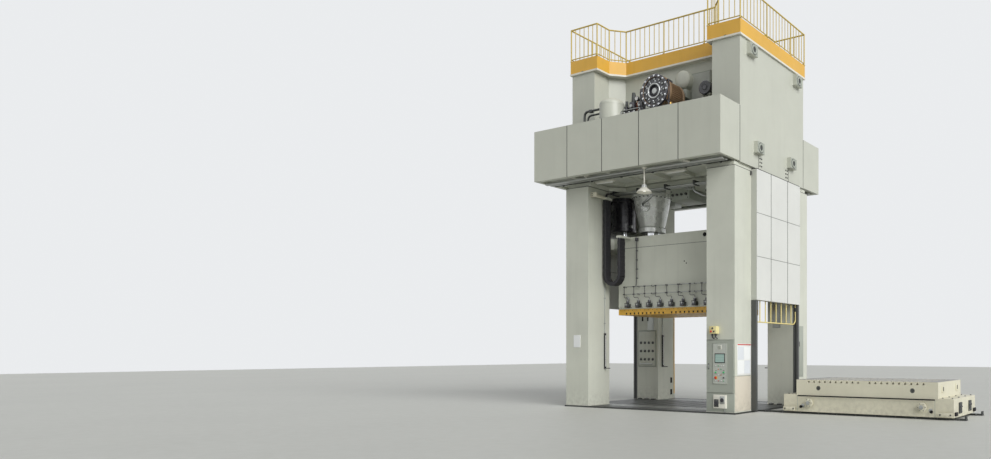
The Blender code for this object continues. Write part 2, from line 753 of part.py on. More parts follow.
def main_cylinders():
    """The two main cylinders, bolted under the crown, with the rods that drive the slide."""
    flange_bottom = COLUMN_TOP - MAIN_FLANGE_THICKNESS
    land_top = MAIN_CONE_BOTTOM + MAIN_GLAND_LAND
    bore_top = MAIN_TOP - MAIN_CAP_THICKNESS
    gland_bore = MAIN_ROD_RADIUS + RUNNING_GAP
    barrel = [
        (0, MAIN_TOP),
        (MAIN_BARREL_RADIUS, MAIN_TOP),
        (MAIN_BARREL_RADIUS, COLUMN_TOP),
        (MAIN_FLANGE_RADIUS, COLUMN_TOP),
        (MAIN_FLANGE_RADIUS, flange_bottom),
        (MAIN_CONE_TOP_RADIUS, flange_bottom),
        (MAIN_CONE_BOTTOM_RADIUS, MAIN_CONE_BOTTOM),
        (MAIN_GLAND_RADIUS, MAIN_CONE_BOTTOM),
        (MAIN_GLAND_RADIUS, MAIN_GLAND_BOTTOM),
        (gland_bore, MAIN_GLAND_BOTTOM),
        (gland_bore, land_top),
        (MAIN_BORE_RADIUS, land_top),
        (MAIN_BORE_RADIUS, bore_top),
        (0, bore_top),
    ]
    piston_radius = MAIN_BORE_RADIUS - RUNNING_GAP
    piston_bottom = MAIN_PISTON_TOP - MAIN_PISTON_HEIGHT
    foot = SLIDE_TOP + SEAT_GAP
    rod = [
        (0, MAIN_PISTON_TOP),
        (piston_radius, MAIN_PISTON_TOP),
        (piston_radius, piston_bottom),
        (MAIN_ROD_RADIUS, piston_bottom),
        (MAIN_ROD_RADIUS, foot + MAIN_ROD_FLANGE_THICKNESS),
        (MAIN_ROD_FLANGE_RADIUS, foot + MAIN_ROD_FLANGE_THICKNESS),
        (MAIN_ROD_FLANGE_RADIUS, foot),
        (0, foot),
    ]
    for name, side in LEFT_RIGHT.items():
        place = (side * MAIN_OFFSET, 0, 0)
        turned(f"main_cylinder_{name}", barrel, "machine_paint", place)
        turned(f"main_rod_{name}", rod, "ground_steel", place)


def balance_cylinders():
    """The two black cylinders in the side bays, with the rods that hold the slide's wings."""
    bore_bottom = BALANCE_BOTTOM + BALANCE_WALL
    bore_top = BALANCE_TOP - BALANCE_WALL
    gland_bore = BALANCE_ROD_RADIUS + RUNNING_GAP
    barrel = [
        (0, BALANCE_TOP),
        (BALANCE_NECK_RADIUS, BALANCE_TOP),
        (BALANCE_NECK_RADIUS, COLUMN_TOP),
        (BALANCE_RADIUS, COLUMN_TOP),
        (BALANCE_RADIUS, BALANCE_BOTTOM),
        (gland_bore, BALANCE_BOTTOM),
        (gland_bore, bore_bottom),
        (BALANCE_BORE_RADIUS, bore_bottom),
        (BALANCE_BORE_RADIUS, bore_top),
        (0, bore_top),
    ]
    piston_radius = BALANCE_BORE_RADIUS - RUNNING_GAP
    piston_bottom = BALANCE_PISTON_TOP - BALANCE_PISTON_HEIGHT
    foot = SLIDE_TOP + SEAT_GAP
    rod = [
        (0, BALANCE_PISTON_TOP),
        (piston_radius, BALANCE_PISTON_TOP),
        (piston_radius, piston_bottom),
        (BALANCE_ROD_RADIUS, piston_bottom),
        (BALANCE_ROD_RADIUS, foot + BALANCE_FOOT_THICKNESS),
        (BALANCE_FOOT_RADIUS, foot + BALANCE_FOOT_THICKNESS),
        (BALANCE_FOOT_RADIUS, foot),
        (0, foot),
    ]
    for name, side in LEFT_RIGHT.items():
        place = (side * TIE_X, 0, 0)
        turned(f"balance_cylinder_{name}", barrel, "black_paint", place)
        turned(f"balance_rod_{name}", rod, "ground_steel", place)


def slide():
    """The slide: a cellular body, the head with its wings, and the T-slotted plate below."""
    half_width, half_depth = SLIDE_WIDTH / 2, SLIDE_DEPTH / 2
    outlines = [rectangle(-half_width, -half_depth, half_width, half_depth)]
    cell_width = (SLIDE_WIDTH - SLIDE_WALL) / SLIDE_CELLS_ALONG
    cell_depth = (SLIDE_DEPTH - SLIDE_WALL) / SLIDE_CELLS_ACROSS
    for i in range(SLIDE_CELLS_ALONG):
        for j in range(SLIDE_CELLS_ACROSS):
            x = -half_width + SLIDE_WALL + i * cell_width
            y = -half_depth + SLIDE_WALL + j * cell_depth
            outlines.append(rectangle(x, y, x + cell_width - SLIDE_WALL, y + cell_depth - SLIDE_WALL))
    body_top = SLIDE_HEAD_BOTTOM - SEAT_GAP
    plate("slide", "XY", outlines, SLIDE_PLATE_TOP + SEAT_GAP, body_top, "machine_paint")

    wing_end = PRESS_WIDTH / 2 - WING_INSET
    wing_half_depth = COLUMN_INNER_Y - SLIDING_GAP
    shoulder = COLUMN_INNER_X + WING_SHOULDER
    quarter = [
        (wing_end, wing_half_depth),
        (shoulder, wing_half_depth),
        (shoulder - (wing_half_depth - half_depth), half_depth),
    ]
    half = quarter + [(-x, y) for x, y in reversed(quarter)]
    outline = half + [(-x, -y) for x, y in half]
    head = as_mesh(plate("slide_head", "XY", [outline], SLIDE_HEAD_BOTTOM, SLIDE_TOP, "machine_paint"))
    boolean(head, chain_arm(), "UNION")

    low = (-half_width, -half_depth, SLIDE_BOTTOM)
    table = box("slide_plate", low, (half_width, half_depth, SLIDE_PLATE_TOP), "yellow_paint")
    cut_slots(table, 0, SLIDE_BOTTOM, 1)


def chain_arm():
    """The arm on the slide's head that carries the moving end of the cable chain."""
    half = CHAIN_ARM_WIDTH / 2
    bottom = CHAIN_MOVING_TOP + SEAT_GAP
    low = (CHAIN_MOVING_X - half, CHAIN_DEPTH_CENTRE - CHAIN_WIDTH / 2, bottom)
    high = (CHAIN_MOVING_X + half, SLIDE_FRONT + SLIDE_WALL / 2, bottom + CHAIN_BRACKET_THICKNESS)
    return box("chain_arm", low, high)


def die_clamps():
    """The row of die clamps on the slide's front, on their common pipe."""
    face = SLIDE_FRONT - SEAT_GAP
    centres = [(k - (CLAMP_COUNT - 1) / 2) * CLAMP_PITCH for k in range(CLAMP_COUNT)]
    half = CLAMP_WIDTH / 2
    clamps = boxes(
        "die_clamps",
        [((x - half, face - CLAMP_DEPTH, CLAMP_BOTTOM), (x + half, face, CLAMP_TOP)) for x in centres],
        "dark_steel",
    )
    pipe_height = CLAMP_BOTTOM + CLAMP_PIPE_RISE
    pipe_middle = face - CLAMP_DEPTH / 2
    half = CLAMP_DROP_SIZE / 2
    drops = [
        (
            (x - CLAMP_DROP_SHIFT - half, pipe_middle - half, CLAMP_TOP - CLAMP_DROP_SIZE),
            (x - CLAMP_DROP_SHIFT + half, pipe_middle + half, pipe_height),
        )
        for x in centres
    ]
    boolean(clamps, boxes("clamp_drops", drops), "UNION")
    half = CLAMP_PIPE_SIZE / 2
    low = (centres[0] - CLAMP_WIDTH, pipe_middle - half, pipe_height - half)
    high = (centres[-1] + CLAMP_WIDTH, pipe_middle + half, pipe_height + half)
    boolean(clamps, box("clamp_pipe", low, high), "UNION")


def cable_chain():
    """The cable chain: two upright legs joined by a half turn, with a groove at each link."""
    radius = (CHAIN_MOVING_X - CHAIN_FIXED_X) / 2
    middle = (CHAIN_MOVING_X + CHAIN_FIXED_X) / 2
    half = CHAIN_THICKNESS / 2
    turn_height = CHAIN_LOWEST + half + radius
    start_height = CHAIN_FIXED_TOP - SEAT_GAP
    fixed_leg = start_height - turn_height
    bend = pi * radius
    length = fixed_leg + bend + CHAIN_MOVING_TOP - turn_height

    def place(distance, offset):
        """The point at a distance along the chain, offset to the outside of its bend."""
        if distance <= fixed_leg:
            return CHAIN_FIXED_X - offset, start_height - distance
        if distance >= fixed_leg + bend:
            return CHAIN_MOVING_X + offset, turn_height + distance - fixed_leg - bend
        angle = pi + (distance - fixed_leg) / radius
        return middle + (radius + offset) * cos(angle), turn_height + (radius + offset) * sin(angle)

    links = ceil(length / CHAIN_LINK)
    pitch = length / links
    shallow = half - CHAIN_LINK_GROOVE
    outer, inner = [], []
    for k in range(links):
        for share, depth in ((0, shallow), (CHAIN_GROOVE_SHARE, half), (1 - CHAIN_GROOVE_SHARE, half)):
            outer.append(place((k + share) * pitch, depth))
            inner.append(place((k + share) * pitch, -depth))
    outer.append(place(length, shallow))
    inner.append(place(length, -shallow))
    low = CHAIN_DEPTH_CENTRE - CHAIN_WIDTH / 2
    high = CHAIN_DEPTH_CENTRE + CHAIN_WIDTH / 2
    plate("cable_chain", "XZ", [outer + inner[::-1]], low, high, "chain_plastic")
    box(
        "chain_bracket",
        (-COLUMN_INNER_X + SEAT_GAP, low, CHAIN_FIXED_TOP),
        (CHAIN_FIXED_X + CHAIN_THICKNESS, high, CHAIN_FIXED_TOP + CHAIN_BRACKET_THICKNESS),
        "machine_paint",
    )


def service_deck():
    """The deck round the crown's foot, on its frame, with the parapet of panels."""
    gap = SEAT_GAP
    inner = crown_outline(gap, gap)
    left = FASCIA_LEFT + FASCIA_THICKNESS + gap
    right = PRESS_WIDTH / 2 - FASCIA_THICKNESS - gap
    front = FASCIA_FRONT + FASCIA_THICKNESS + gap
    back = FASCIA_BACK - FASCIA_THICKNESS - gap
    end = CROWN_DEPTH / 2 + gap
    back_edge, front_edge = inner[1:8], inner[8:15]
    outline = [(right, end)] + back_edge + front_edge + [(right, -end)]
    outline += [(right, front), (left, front), (left, back), (right, back)]
    plate("service_deck", "XY", [outline], DECK_BOTTOM, DECK_TOP, "dark_steel")

    windows = deck_windows(left, right, front, back)
    frame_top = DECK_BOTTOM - gap
    plate("deck_frame", "XY", [outline] + windows, FASCIA_BOTTOM, frame_top, "machine_paint")
    fascia_panels()


def bays(start, end, count, beam):
    """The (low, high) spans between the beams that part a length into equal bays."""
    pitch = (end - start) / count
    return [(start + k * pitch + beam / 2, start + (k + 1) * pitch - beam / 2) for k in range(count)]


def deck_windows(left, right, front, back):
    """The openings between the beams of the deck's frame."""
    beam = DECK_BEAM
    clear = CROWN_DEPTH / 2 + beam
    waist = CROWN_WAIST / 2 + beam
    recess = COLUMN_INNER_X - CROWN_CHAMFER
    windows = []
    for low, high in bays(left, right, FASCIA_PANELS, beam):
        windows.append(rectangle(low, front + beam, high, -clear))
        windows.append(rectangle(low, clear, high, back - beam))
    for low, high in bays(-recess, recess, RECESS_BAYS, beam):
        windows.append(rectangle(low, beam - clear, high, -waist))
        windows.append(rectangle(low, waist, high, clear - beam))
    for low, high in bays(-clear, clear, RECESS_BAYS, beam):
        windows.append(rectangle(left + beam, low, -PRESS_WIDTH / 2 - beam, high))
    return windows


def seamed_edge(start, end, seams, inward):
    """Points from start to end with a narrow groove at each seam, cut towards inward."""
    along = (end[0] - start[0], end[1] - start[1])
    length = hypot(*along)
    half = FASCIA_SEAM_WIDTH / 2
    points = [start]
    for k in range(1, seams + 1):
        middle = length * k / (seams + 1)
        for distance, sink in ((-half, 0), (-half, FASCIA_SEAM_DEPTH), (half, FASCIA_SEAM_DEPTH), (half, 0)):
            share = (middle + distance) / length
            x = start[0] + along[0] * share + inward[0] * sink
            y = start[1] + along[1] * share + inward[1] * sink
            points.append((x, y))
    return points + [end]


def fascia_panels():
    """The parapet: front and back walls with a return at the right, and the left wall."""
    thick = FASCIA_THICKNESS
    left, right = FASCIA_LEFT, PRESS_WIDTH / 2
    seams = FASCIA_PANELS - 1
    for name, face, sign in (("front", FASCIA_FRONT, 1), ("back", FASCIA_BACK, -1)):
        crown_end = -sign * (CROWN_DEPTH / 2 + SEAT_GAP)
        outline = seamed_edge((left, face), (right, face), seams, (0, sign))
        outline += [(right, crown_end), (right - thick, crown_end)]
        outline += [(right - thick, face + sign * thick), (left, face + sign * thick)]
        plate(f"fascia_{name}", "XY", [outline], FASCIA_BOTTOM, FASCIA_TOP, "machine_paint")
    low = FASCIA_FRONT + thick + SEAT_GAP
    high = FASCIA_BACK - thick - SEAT_GAP
    outline = seamed_edge((left, high), (left, low), seams, (1, 0))
    outline += [(left + thick, low), (left + thick, high)]
    plate("fascia_left", "XY", [outline], FASCIA_BOTTOM, FASCIA_TOP, "machine_paint")


def deck_machinery():
    """The pump motor on its valve block, the oil tank with its pipe, and the blower."""
    pump_height = DECK_TOP + PUMP_RISE
    profile = [
        (0, PUMP_LENGTH),
        (PUMP_BODY_RADIUS, PUMP_LENGTH),
        (PUMP_BODY_RADIUS, PUMP_RING_LENGTH),
        (PUMP_RADIUS, PUMP_RING_LENGTH),
        (PUMP_RADIUS, 0),
        (PUMP_HUB_RADIUS, 0),
        (PUMP_HUB_RADIUS, PUMP_HUB_DEPTH),
        (0, PUMP_HUB_DEPTH),
    ]
    pump_front = RECESS_FRONT - PUMP_STANDOFF - PUMP_LENGTH
    turned("pump_motor", profile, "brown_paint", (PUMP_X, pump_front, pump_height), "Y")

    block_top = pump_height - PUMP_RADIUS - SEAT_GAP
    left, right = PUMP_X - BLOCK_WIDTH / 2, PUMP_X + BLOCK_WIDTH / 2
    shoulder = left - BLOCK_SHOULDER
    shoulder_top = block_top + BLOCK_SHOULDER_RISE
    outline = [(shoulder, DECK_FOOT), (right, DECK_FOOT), (right, block_top), (left, block_top)]
    outline += [(left, shoulder_top), (shoulder, shoulder_top)]
    block_back = RECESS_FRONT - BLOCK_STANDOFF
    plate("valve_block", "XZ", [outline], block_back - BLOCK_LENGTH, block_back, "dark_steel")
    oil_tank()
    blower()


def oil_tank():
    """The domed oil tank, with the pipe that comes up from the deck into its side."""
    steps = 5
    angles = [pi / 2 * k / steps for k in range(steps + 1)]
    y = RECESS_FRONT - TANK_STANDOFF
    top = DECK_TOP + TANK_HEIGHT
    dome = [(TANK_RADIUS * sin(a), top - TANK_DOME * (1 - cos(a))) for a in angles]
    turned("oil_tank", dome + [(TANK_RADIUS, DECK_FOOT), (0, DECK_FOOT)], "white_paint", (TANK_X, y, 0))

    tank_side = TANK_X - TANK_RADIUS - SEAT_GAP
    pipe_x = tank_side - PIPE_REACH
    pipe_top = top - PIPE_DROP
    bend = [(pipe_x + PIPE_BEND * (1 - cos(a)), y, pipe_top - PIPE_BEND * (1 - sin(a))) for a in angles]
    route = [(pipe_x, y, DECK_FOOT)] + bend + [(tank_side, y, pipe_top)]
    tube("tank_pipe", route, PIPE_RADIUS, "dark_steel")


def blower():
    """The black blower on its stand, beside the right tower."""
    half = BLOWER_LENGTH / 2
    y = RECESS_FRONT - BLOWER_STANDOFF
    height = DECK_TOP + BLOWER_RISE
    profile = [(0, half), (BLOWER_RADIUS, half), (BLOWER_RADIUS, -half), (0, -half)]
    fan = turned("blower", profile, "black_paint", (BLOWER_X, y, height), "Y", SMALL_SIDES)
    half = BLOWER_STAND / 2
    low, high = (BLOWER_X - half, y - half, DECK_FOOT), (BLOWER_X + half, y + half, height)
    boolean(fan, box("blower_stand", low, high), "UNION")


def work_lamp():
    """The lamp that hangs from a beam of the deck's frame."""
    left = FASCIA_LEFT + FASCIA_THICKNESS
    right = PRESS_WIDTH / 2 - FASCIA_THICKNESS
    x = left + (right - left) * LAMP_BEAM / FASCIA_PANELS
    top = FASCIA_BOTTOM - SEAT_GAP
    neck = top - LAMP_STEM_LENGTH
    shoulder = neck - LAMP_NECK_LENGTH
    rim = neck - LAMP_HEIGHT
    profile = [
        (0, top),
        (LAMP_STEM_RADIUS, top),
        (LAMP_STEM_RADIUS, neck),
        (LAMP_NECK_RADIUS, neck),
        (LAMP_NECK_RADIUS, shoulder),
        (LAMP_RADIUS, rim),
        (LAMP_RADIUS - LAMP_WALL, rim),
        (LAMP_NECK_RADIUS - LAMP_WALL, shoulder),
        (0, shoulder),
    ]
    turned("work_lamp", profile, "white_paint", (x, FASCIA_FRONT + LAMP_INSET, 0), sides=SMALL_SIDES)


def side_covers():
    """The panelled covers of the side bays, each with the two guides of its guard."""
    near = PRESS_WIDTH / 2 + SEAT_GAP
    far = PRESS_WIDTH / 2 + COVER_REACH
    half = COVER_HALF_WIDTH
    inner = half - COVER_WALL
    for name, side in LEFT_RIGHT.items():
        outer = sided(side, (near, -half, COVER_BOTTOM), (far, half, COVER_TOP))
        cover = boxes(f"side_cover_{name}", [outer], "white_paint")
        hollow = sided(
            side,
            (near + COVER_LINING, -inner, COVER_BOTTOM - COVER_WALL),
            (far - COVER_WALL, inner, COVER_TOP - COVER_WALL),
        )
        boolean(cover, boxes(f"cover_hollow_{name}", [hollow]), "DIFFERENCE")
        for way in ("upright", "level"):
            seams = boxes(f"cover_{way}_seams_{name}", cover_seams(side, far, way))
            boolean(cover, seams, "DIFFERENCE")
        top = GUARD_TOP + GUARD_LIFTS[name] + GUIDE_HEADROOM
        for end_name, end in FRONT_BACK.items():
            guide = guard_guide(f"guard_guide_{name}_{end_name}", side, end, top)
            boolean(cover, guide, "UNION")


def sided(side, low, high):
    """The corners of a block given for the right side, on the right or mirrored to the left."""
    xs = sorted((side * low[0], side * high[0]))
    return (xs[0], low[1], low[2]), (xs[1], high[1], high[2])


def cover_seams(side, face, way):
    """Blocks for the shallow seams, upright or level, between a cover's panels."""
    half = COVER_SEAM / 2
    low_x, high_x = face - COVER_SEAM_DEPTH, face + COVER_SEAM_DEPTH
    blocks = []
    for k in range(1, COVER_PANELS):
        if way == "upright":
            y = (k - COVER_PANELS / 2) * COVER_PANEL_WIDTH
            low, high = (low_x, y - half, COVER_BOTTOM - half), (high_x, y + half, COVER_TOP + half)
        else:
            z = COVER_BOTTOM + (COVER_TOP - COVER_BOTTOM) * k / COVER_PANELS
            low = (low_x, -COVER_HALF_WIDTH - half, z - half)
            high = (high_x, COVER_HALF_WIDTH + half, z + half)
        blocks.append(sided(side, low, high))
    return blocks


def guard_guide(name, side, end, top):
    """A channel on a column's outer face, from the bed plate up into the cover."""
    face = PRESS_WIDTH / 2 + SEAT_GAP
    back = face + GUIDE_REACH
    outer_y = COVER_HALF_WIDTH - COVER_WALL / 2
    slot_near = PRESS_WIDTH / 2 + GUARD_INNER_X - RUNNING_GAP
    slot_far = slot_near + GUARD_THICKNESS + RUNNING_GAP * 2
    slot_y = GUIDE_INNER + GUIDE_SLOT_DEPTH
    points = [(face, GUIDE_INNER), (slot_near, GUIDE_INNER), (slot_near, slot_y), (slot_far, slot_y)]
    points += [(slot_far, GUIDE_INNER), (back, GUIDE_INNER), (back, outer_y), (face, outer_y)]
    outline = [(side * x, end * y) for x, y in points]
    return as_mesh(plate(name, "XY", [outline], FOOT, top))


def side_guards():
    """The two barred guards that run down in the guides to close the side openings."""
    half = GUIDE_INNER + GUIDE_SLOT_DEPTH - SLIDING_GAP
    low, high = GUARD_BOTTOM, GUARD_TOP
    corner = GUARD_CORNER
    outer = [(-half + corner, low), (half - corner, low), (half, low + corner)]
    outer += [(half, high), (-half, high), (-half, low + corner)]
    pitch = half * 2 / (GUARD_BARS + 1)
    bars = [pitch * (k + 1) - half for k in range(GUARD_BARS)]
    edges = [-half - GUARD_BAR / 2] + bars + [half + GUARD_BAR / 2]
    windows = []
    for left, right in zip(edges, edges[1:]):
        y0, y1 = left + GUARD_BAR / 2, right - GUARD_BAR / 2
        windows.append(rectangle(y0, low + GUARD_BAR, y1, high - GUARD_BAR))
    y0, y1 = windows[0][0][0] + GUARD_BAR, windows[-1][1][0] - GUARD_BAR
    z0, z1 = low + GUARD_BAR, high - GUARD_BAR
    windows[0] = [(y0, z0 + corner), (y0 + corner, z0), windows[0][1], windows[0][2], (y0, z1)]
    windows[-1] = [windows[-1][0], (y1 - corner, z0), (y1, z0 + corner), (y1, z1), windows[-1][3]]
    for name, side in LEFT_RIGHT.items():
        xs = sorted(side * (PRESS_WIDTH / 2 + GUARD_INNER_X + reach) for reach in (0, GUARD_THICKNESS))
        guard = plate(f"side_guard_{name}", "YZ", [outer] + windows, xs[0], xs[1], "guard_paint")
        guard.location.z = GUARD_LIFTS[name]


def bolster():
    """The T-slotted bolster on its carriage, parked to the right of the press."""
    centre = BOLSTER_PARKED_X
    half_depth = BOLSTER_DEPTH / 2
    half_plate = BOLSTER_LENGTH / 2
    low = (centre - half_plate, -half_depth, BOLSTER_BOTTOM)
    table = box("bolster_plate", low, (centre + half_plate, half_depth, BOLSTER_TOP), "machine_paint")
    cut_slots(table, centre, BOLSTER_TOP, -1)
    holes = [
        (centre + side * BOLSTER_HOLE_OFFSET, end * half_depth, BOLSTER_BOTTOM + BOLSTER_HOLE_RISE)
        for side in LEFT_RIGHT.values()
        for end in FRONT_BACK.values()
    ]
    boolean(table, rods("bolster_holes", holes, BOLSTER_HOLE_RADIUS, BOLSTER_HOLE_DEPTH * 2), "DIFFERENCE")
    bolster_carriage(centre, half_depth, half_plate)
    wheel_sets(centre, half_depth)


def bolster_carriage(centre, half_depth, half_plate):
    """The hollow carriage under the bolster, with its raised ends and its trunnions."""
    half_length = CARRIAGE_LENGTH / 2
    seat = half_plate + SEAT_GAP
    raised = BOLSTER_BOTTOM + CARRIAGE_END_RISE
    outline = [(-half_length, CARRIAGE_BOTTOM), (half_length, CARRIAGE_BOTTOM), (half_length, raised)]
    outline += [(seat, raised), (seat, CARRIAGE_TOP), (-seat, CARRIAGE_TOP)]
    outline += [(-seat, raised), (-half_length, raised)]
    section = [(centre + x, z) for x, z in outline]
    carriage = as_mesh(plate("bolster_carriage", "XZ", [section], -half_depth, half_depth, "machine_paint"))
    inner_length = half_length - CARRIAGE_WALL
    inner_depth = half_depth - CARRIAGE_WALL
    hollow = box(
        "carriage_hollow",
        (centre - inner_length, -inner_depth, CARRIAGE_BOTTOM - CARRIAGE_WALL),
        (centre + inner_length, inner_depth, CARRIAGE_TOP - CARRIAGE_DECK),
    )
    boolean(carriage, hollow, "DIFFERENCE")
    pins = [
        (centre + side * TRUNNION_OFFSET, end * half_depth, CARRIAGE_BOTTOM + TRUNNION_RISE)
        for side in LEFT_RIGHT.values()
        for end in FRONT_BACK.values()
    ]
    boolean(carriage, rods("trunnions", pins, TRUNNION_RADIUS, TRUNNION_REACH * 2), "UNION")
    axles = [(centre + side * AXLE_OFFSET, 0, AXLE_HEIGHT) for side in LEFT_RIGHT.values()]
    through = BOLSTER_DEPTH + CARRIAGE_WALL
    hole_radius = (AXLE_RADIUS + RUNNING_GAP) / cos(pi / SMALL_SIDES)
    boolean(carriage, rods("axle_holes", axles, hole_radius, through), "DIFFERENCE")


def wheel_sets(centre, half_depth):
    """The two wheel sets: an axle with a wheel on each rail."""
    half_axle = half_depth - SEAT_GAP
    inner = RAIL_SPACING / 2 - WHEEL_WIDTH / 2
    outer = RAIL_SPACING / 2 + WHEEL_WIDTH / 2
    profile = [
        (0, half_axle),
        (AXLE_RADIUS, half_axle),
        (AXLE_RADIUS, outer),
        (WHEEL_RADIUS, outer),
        (WHEEL_RADIUS, inner),
        (AXLE_RADIUS, inner),
    ]
    profile += [(radius, -height) for radius, height in reversed(profile)]
    for name, side in LEFT_RIGHT.items():
        place = (centre + side * AXLE_OFFSET, 0, AXLE_HEIGHT)
        turned(f"wheel_set_{name}", profile, "dark_steel", place, "Y")


def control_cabinet():
    """The cabinet's door with the operator panel, its screen and its controls."""
    hinge = bpy.data.objects.new("cabinet_hinge", None)
    hinge.location = (PRESS_WIDTH / 2 - DOOR_MARGIN, DOOR_FRONT, (DOOR_BOTTOM + DOOR_TOP) / 2)
    PIECES.objects.link(hinge)
    door = box(
        "cabinet_door",
        (COLUMN_INNER_X + DOOR_MARGIN, DOOR_FRONT, DOOR_BOTTOM),
        (PRESS_WIDTH / 2 - DOOR_MARGIN, FRONT_FACE - SEAT_GAP, DOOR_TOP),
        "cabinet_paint",
    )
    starts = [(PANEL_X + side * CONTROL_SPACING, START_ROW) for side in LEFT_RIGHT.values()]
    stop = (PANEL_X - CONTROL_SPACING, STOP_ROW)
    panel = plate(
        "operator_panel",
        "XZ",
        [rectangle(PANEL_X - PANEL_WIDTH / 2, PANEL_BOTTOM, PANEL_X + PANEL_WIDTH / 2, PANEL_TOP)]
        + [circle(place, STEM_RADIUS + RUNNING_GAP, SMALL_SIDES) for place in starts + [stop]],
        PANEL_FRONT,
        DOOR_FRONT - SEAT_GAP,
        "pale_paint",
    )
    seat = PANEL_FRONT - SEAT_GAP
    screen = box(
        "touch_screen",
        (PANEL_X - SCREEN_WIDTH / 2, seat - SCREEN_THICKNESS, SCREEN_BOTTOM),
        (PANEL_X + SCREEN_WIDTH / 2, seat, SCREEN_TOP),
        "screen_glass",
    )
    pieces = [door, panel, screen]
    for name, (x, z) in zip(LEFT_RIGHT, starts):
        size = (BUTTON_RADIUS, BUTTON_LENGTH)
        pieces.append(push_button(f"start_button_{name}", (x, PANEL_FRONT, z), *size, "green_plastic"))
    place = (stop[0], PANEL_FRONT, stop[1])
    pieces.append(push_button("stop_button", place, STOP_RADIUS, STOP_LENGTH, "red_plastic"))
    pieces.append(selector_switch((PANEL_X + CONTROL_SPACING, seat, STOP_ROW)))
    bpy.context.view_layer.update()
    for piece in pieces:
        piece.parent = hinge
        piece.matrix_parent_inverse = hinge.matrix_world.inverted()


def push_button(name, place, radius, length, finish):
    """A round button whose cap stands off the panel by its travel, on a stem in the panel's hole."""
    cap = -BUTTON_TRAVEL - SEAT_GAP
    profile = [
        (0, STEM_DEPTH),
        (STEM_RADIUS, STEM_DEPTH),
        (STEM_RADIUS, cap),
        (radius, cap),
        (radius, cap - length),
        (0, cap - length),
    ]
    return turned(name, profile, finish, place, "Y", SMALL_SIDES)


def selector_switch(place):
    """The selector's round knob with its grip bar."""
    half = SELECTOR_LENGTH / 2
    profile = [(0, 0), (SELECTOR_RADIUS, 0), (SELECTOR_RADIUS, -half), (0, -half)]
    knob = turned("selector_switch", profile, "black_paint", place, "Y", SMALL_SIDES)
    grip = SELECTOR_GRIP / 2
    reach = SELECTOR_GRIP_LENGTH / 2
    low = (place[0] - grip, place[1] - SELECTOR_LENGTH, place[2] - reach)
    high = (place[0] + grip, place[1] - half / 2, place[2] + reach)
    boolean(knob, box("selector_grip", low, high), "UNION")
    return knob


def column_fittings():
    """The socket box and the junction box on the front, and the four light curtains."""
    face = FRONT_FACE - SEAT_GAP
    box(
        "socket_box",
        (PANEL_X - SOCKET_WIDTH / 2, face - SOCKET_DEPTH, SOCKET_BOTTOM),
        (PANEL_X + SOCKET_WIDTH / 2, face, SOCKET_TOP),
        "pale_paint",
    )
    box(
        "junction_box",
        (JUNCTION_X - JUNCTION_WIDTH / 2, face - JUNCTION_DEPTH, JUNCTION_BOTTOM),
        (JUNCTION_X + JUNCTION_WIDTH / 2, face, JUNCTION_TOP),
        "guard_paint",
    )
    for end_name, end in FRONT_BACK.items():
        for side_name, side in LEFT_RIGHT.items():
            near = COLUMN_INNER_X - SEAT_GAP
            y = end * (COLUMN_INNER_Y + CURTAIN_INSET)
            corners = sided(
                side,
                (near - CURTAIN_SIZE, y - CURTAIN_SIZE / 2, CURTAIN_BOTTOM),
                (near, y + CURTAIN_SIZE / 2, CURTAIN_BOTTOM + CURTAIN_LENGTH),
            )
            box(f"light_curtain_{end_name}_{side_name}", *corners, "black_paint")


def press():
    """Models the whole press."""
    bed_plate()
    columns()
    crown()
    platform_band()
    handrail()
    tie_rods()
    main_cylinders()
    balance_cylinders()
    slide()
    die_clamps()
    cable_chain()
    service_deck()
    deck_machinery()
    work_lamp()
    side_covers()
    side_guards()
    bolster()
    control_cabinet()
    column_fittings()


for leftover in list(bpy.data.objects):
    bpy.data.objects.remove(leftover)
PIECES = collection("hydraulic_press")
CUTTERS = collection("cutters", hidden=True)
press()
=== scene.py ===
"""Looks of the hydraulic press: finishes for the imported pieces, and the fittings around them.

Metres, +Z up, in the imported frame. The press stands on the floor at z = 0 with its front towards
-Y, and its bolster is parked at the right, towards +X.
"""

import logging
import math
from collections.abc import Callable, Iterable, Sequence
from dataclasses import dataclass
from enum import Enum
from typing import Any

import bmesh
import bpy
from mathutils import Matrix, Vector


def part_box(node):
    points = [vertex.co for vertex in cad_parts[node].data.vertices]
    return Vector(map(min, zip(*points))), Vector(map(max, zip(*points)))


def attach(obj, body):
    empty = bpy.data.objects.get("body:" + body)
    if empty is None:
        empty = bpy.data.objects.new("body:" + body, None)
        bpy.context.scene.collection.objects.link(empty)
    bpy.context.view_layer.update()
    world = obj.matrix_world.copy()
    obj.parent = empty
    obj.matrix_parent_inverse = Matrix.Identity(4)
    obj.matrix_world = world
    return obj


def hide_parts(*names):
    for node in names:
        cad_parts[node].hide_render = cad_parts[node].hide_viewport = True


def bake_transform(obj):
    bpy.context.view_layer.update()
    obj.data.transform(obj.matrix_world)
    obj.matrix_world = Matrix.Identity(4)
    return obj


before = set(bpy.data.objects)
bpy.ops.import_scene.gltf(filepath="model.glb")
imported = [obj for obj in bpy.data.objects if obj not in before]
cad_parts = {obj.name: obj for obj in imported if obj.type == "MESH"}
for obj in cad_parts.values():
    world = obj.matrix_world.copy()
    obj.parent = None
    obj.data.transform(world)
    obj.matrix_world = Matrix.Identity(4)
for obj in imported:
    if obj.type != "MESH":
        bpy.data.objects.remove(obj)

LOG = logging.getLogger("press")

# The photograph's camera: its place, its turn to the left, and its lens on a 36 mm sensor
CAMERA_PLACE = (12.746, -18.012, 1.60)
CAMERA_YAW = math.radians(29.98)
SENSOR_WIDTH = 36.0
IMAGE_WIDTH = 991
IMAGE_HEIGHT = 459
FOCAL_PIXELS = 737.6
HORIZON_POINT = (757.0, 351.6)

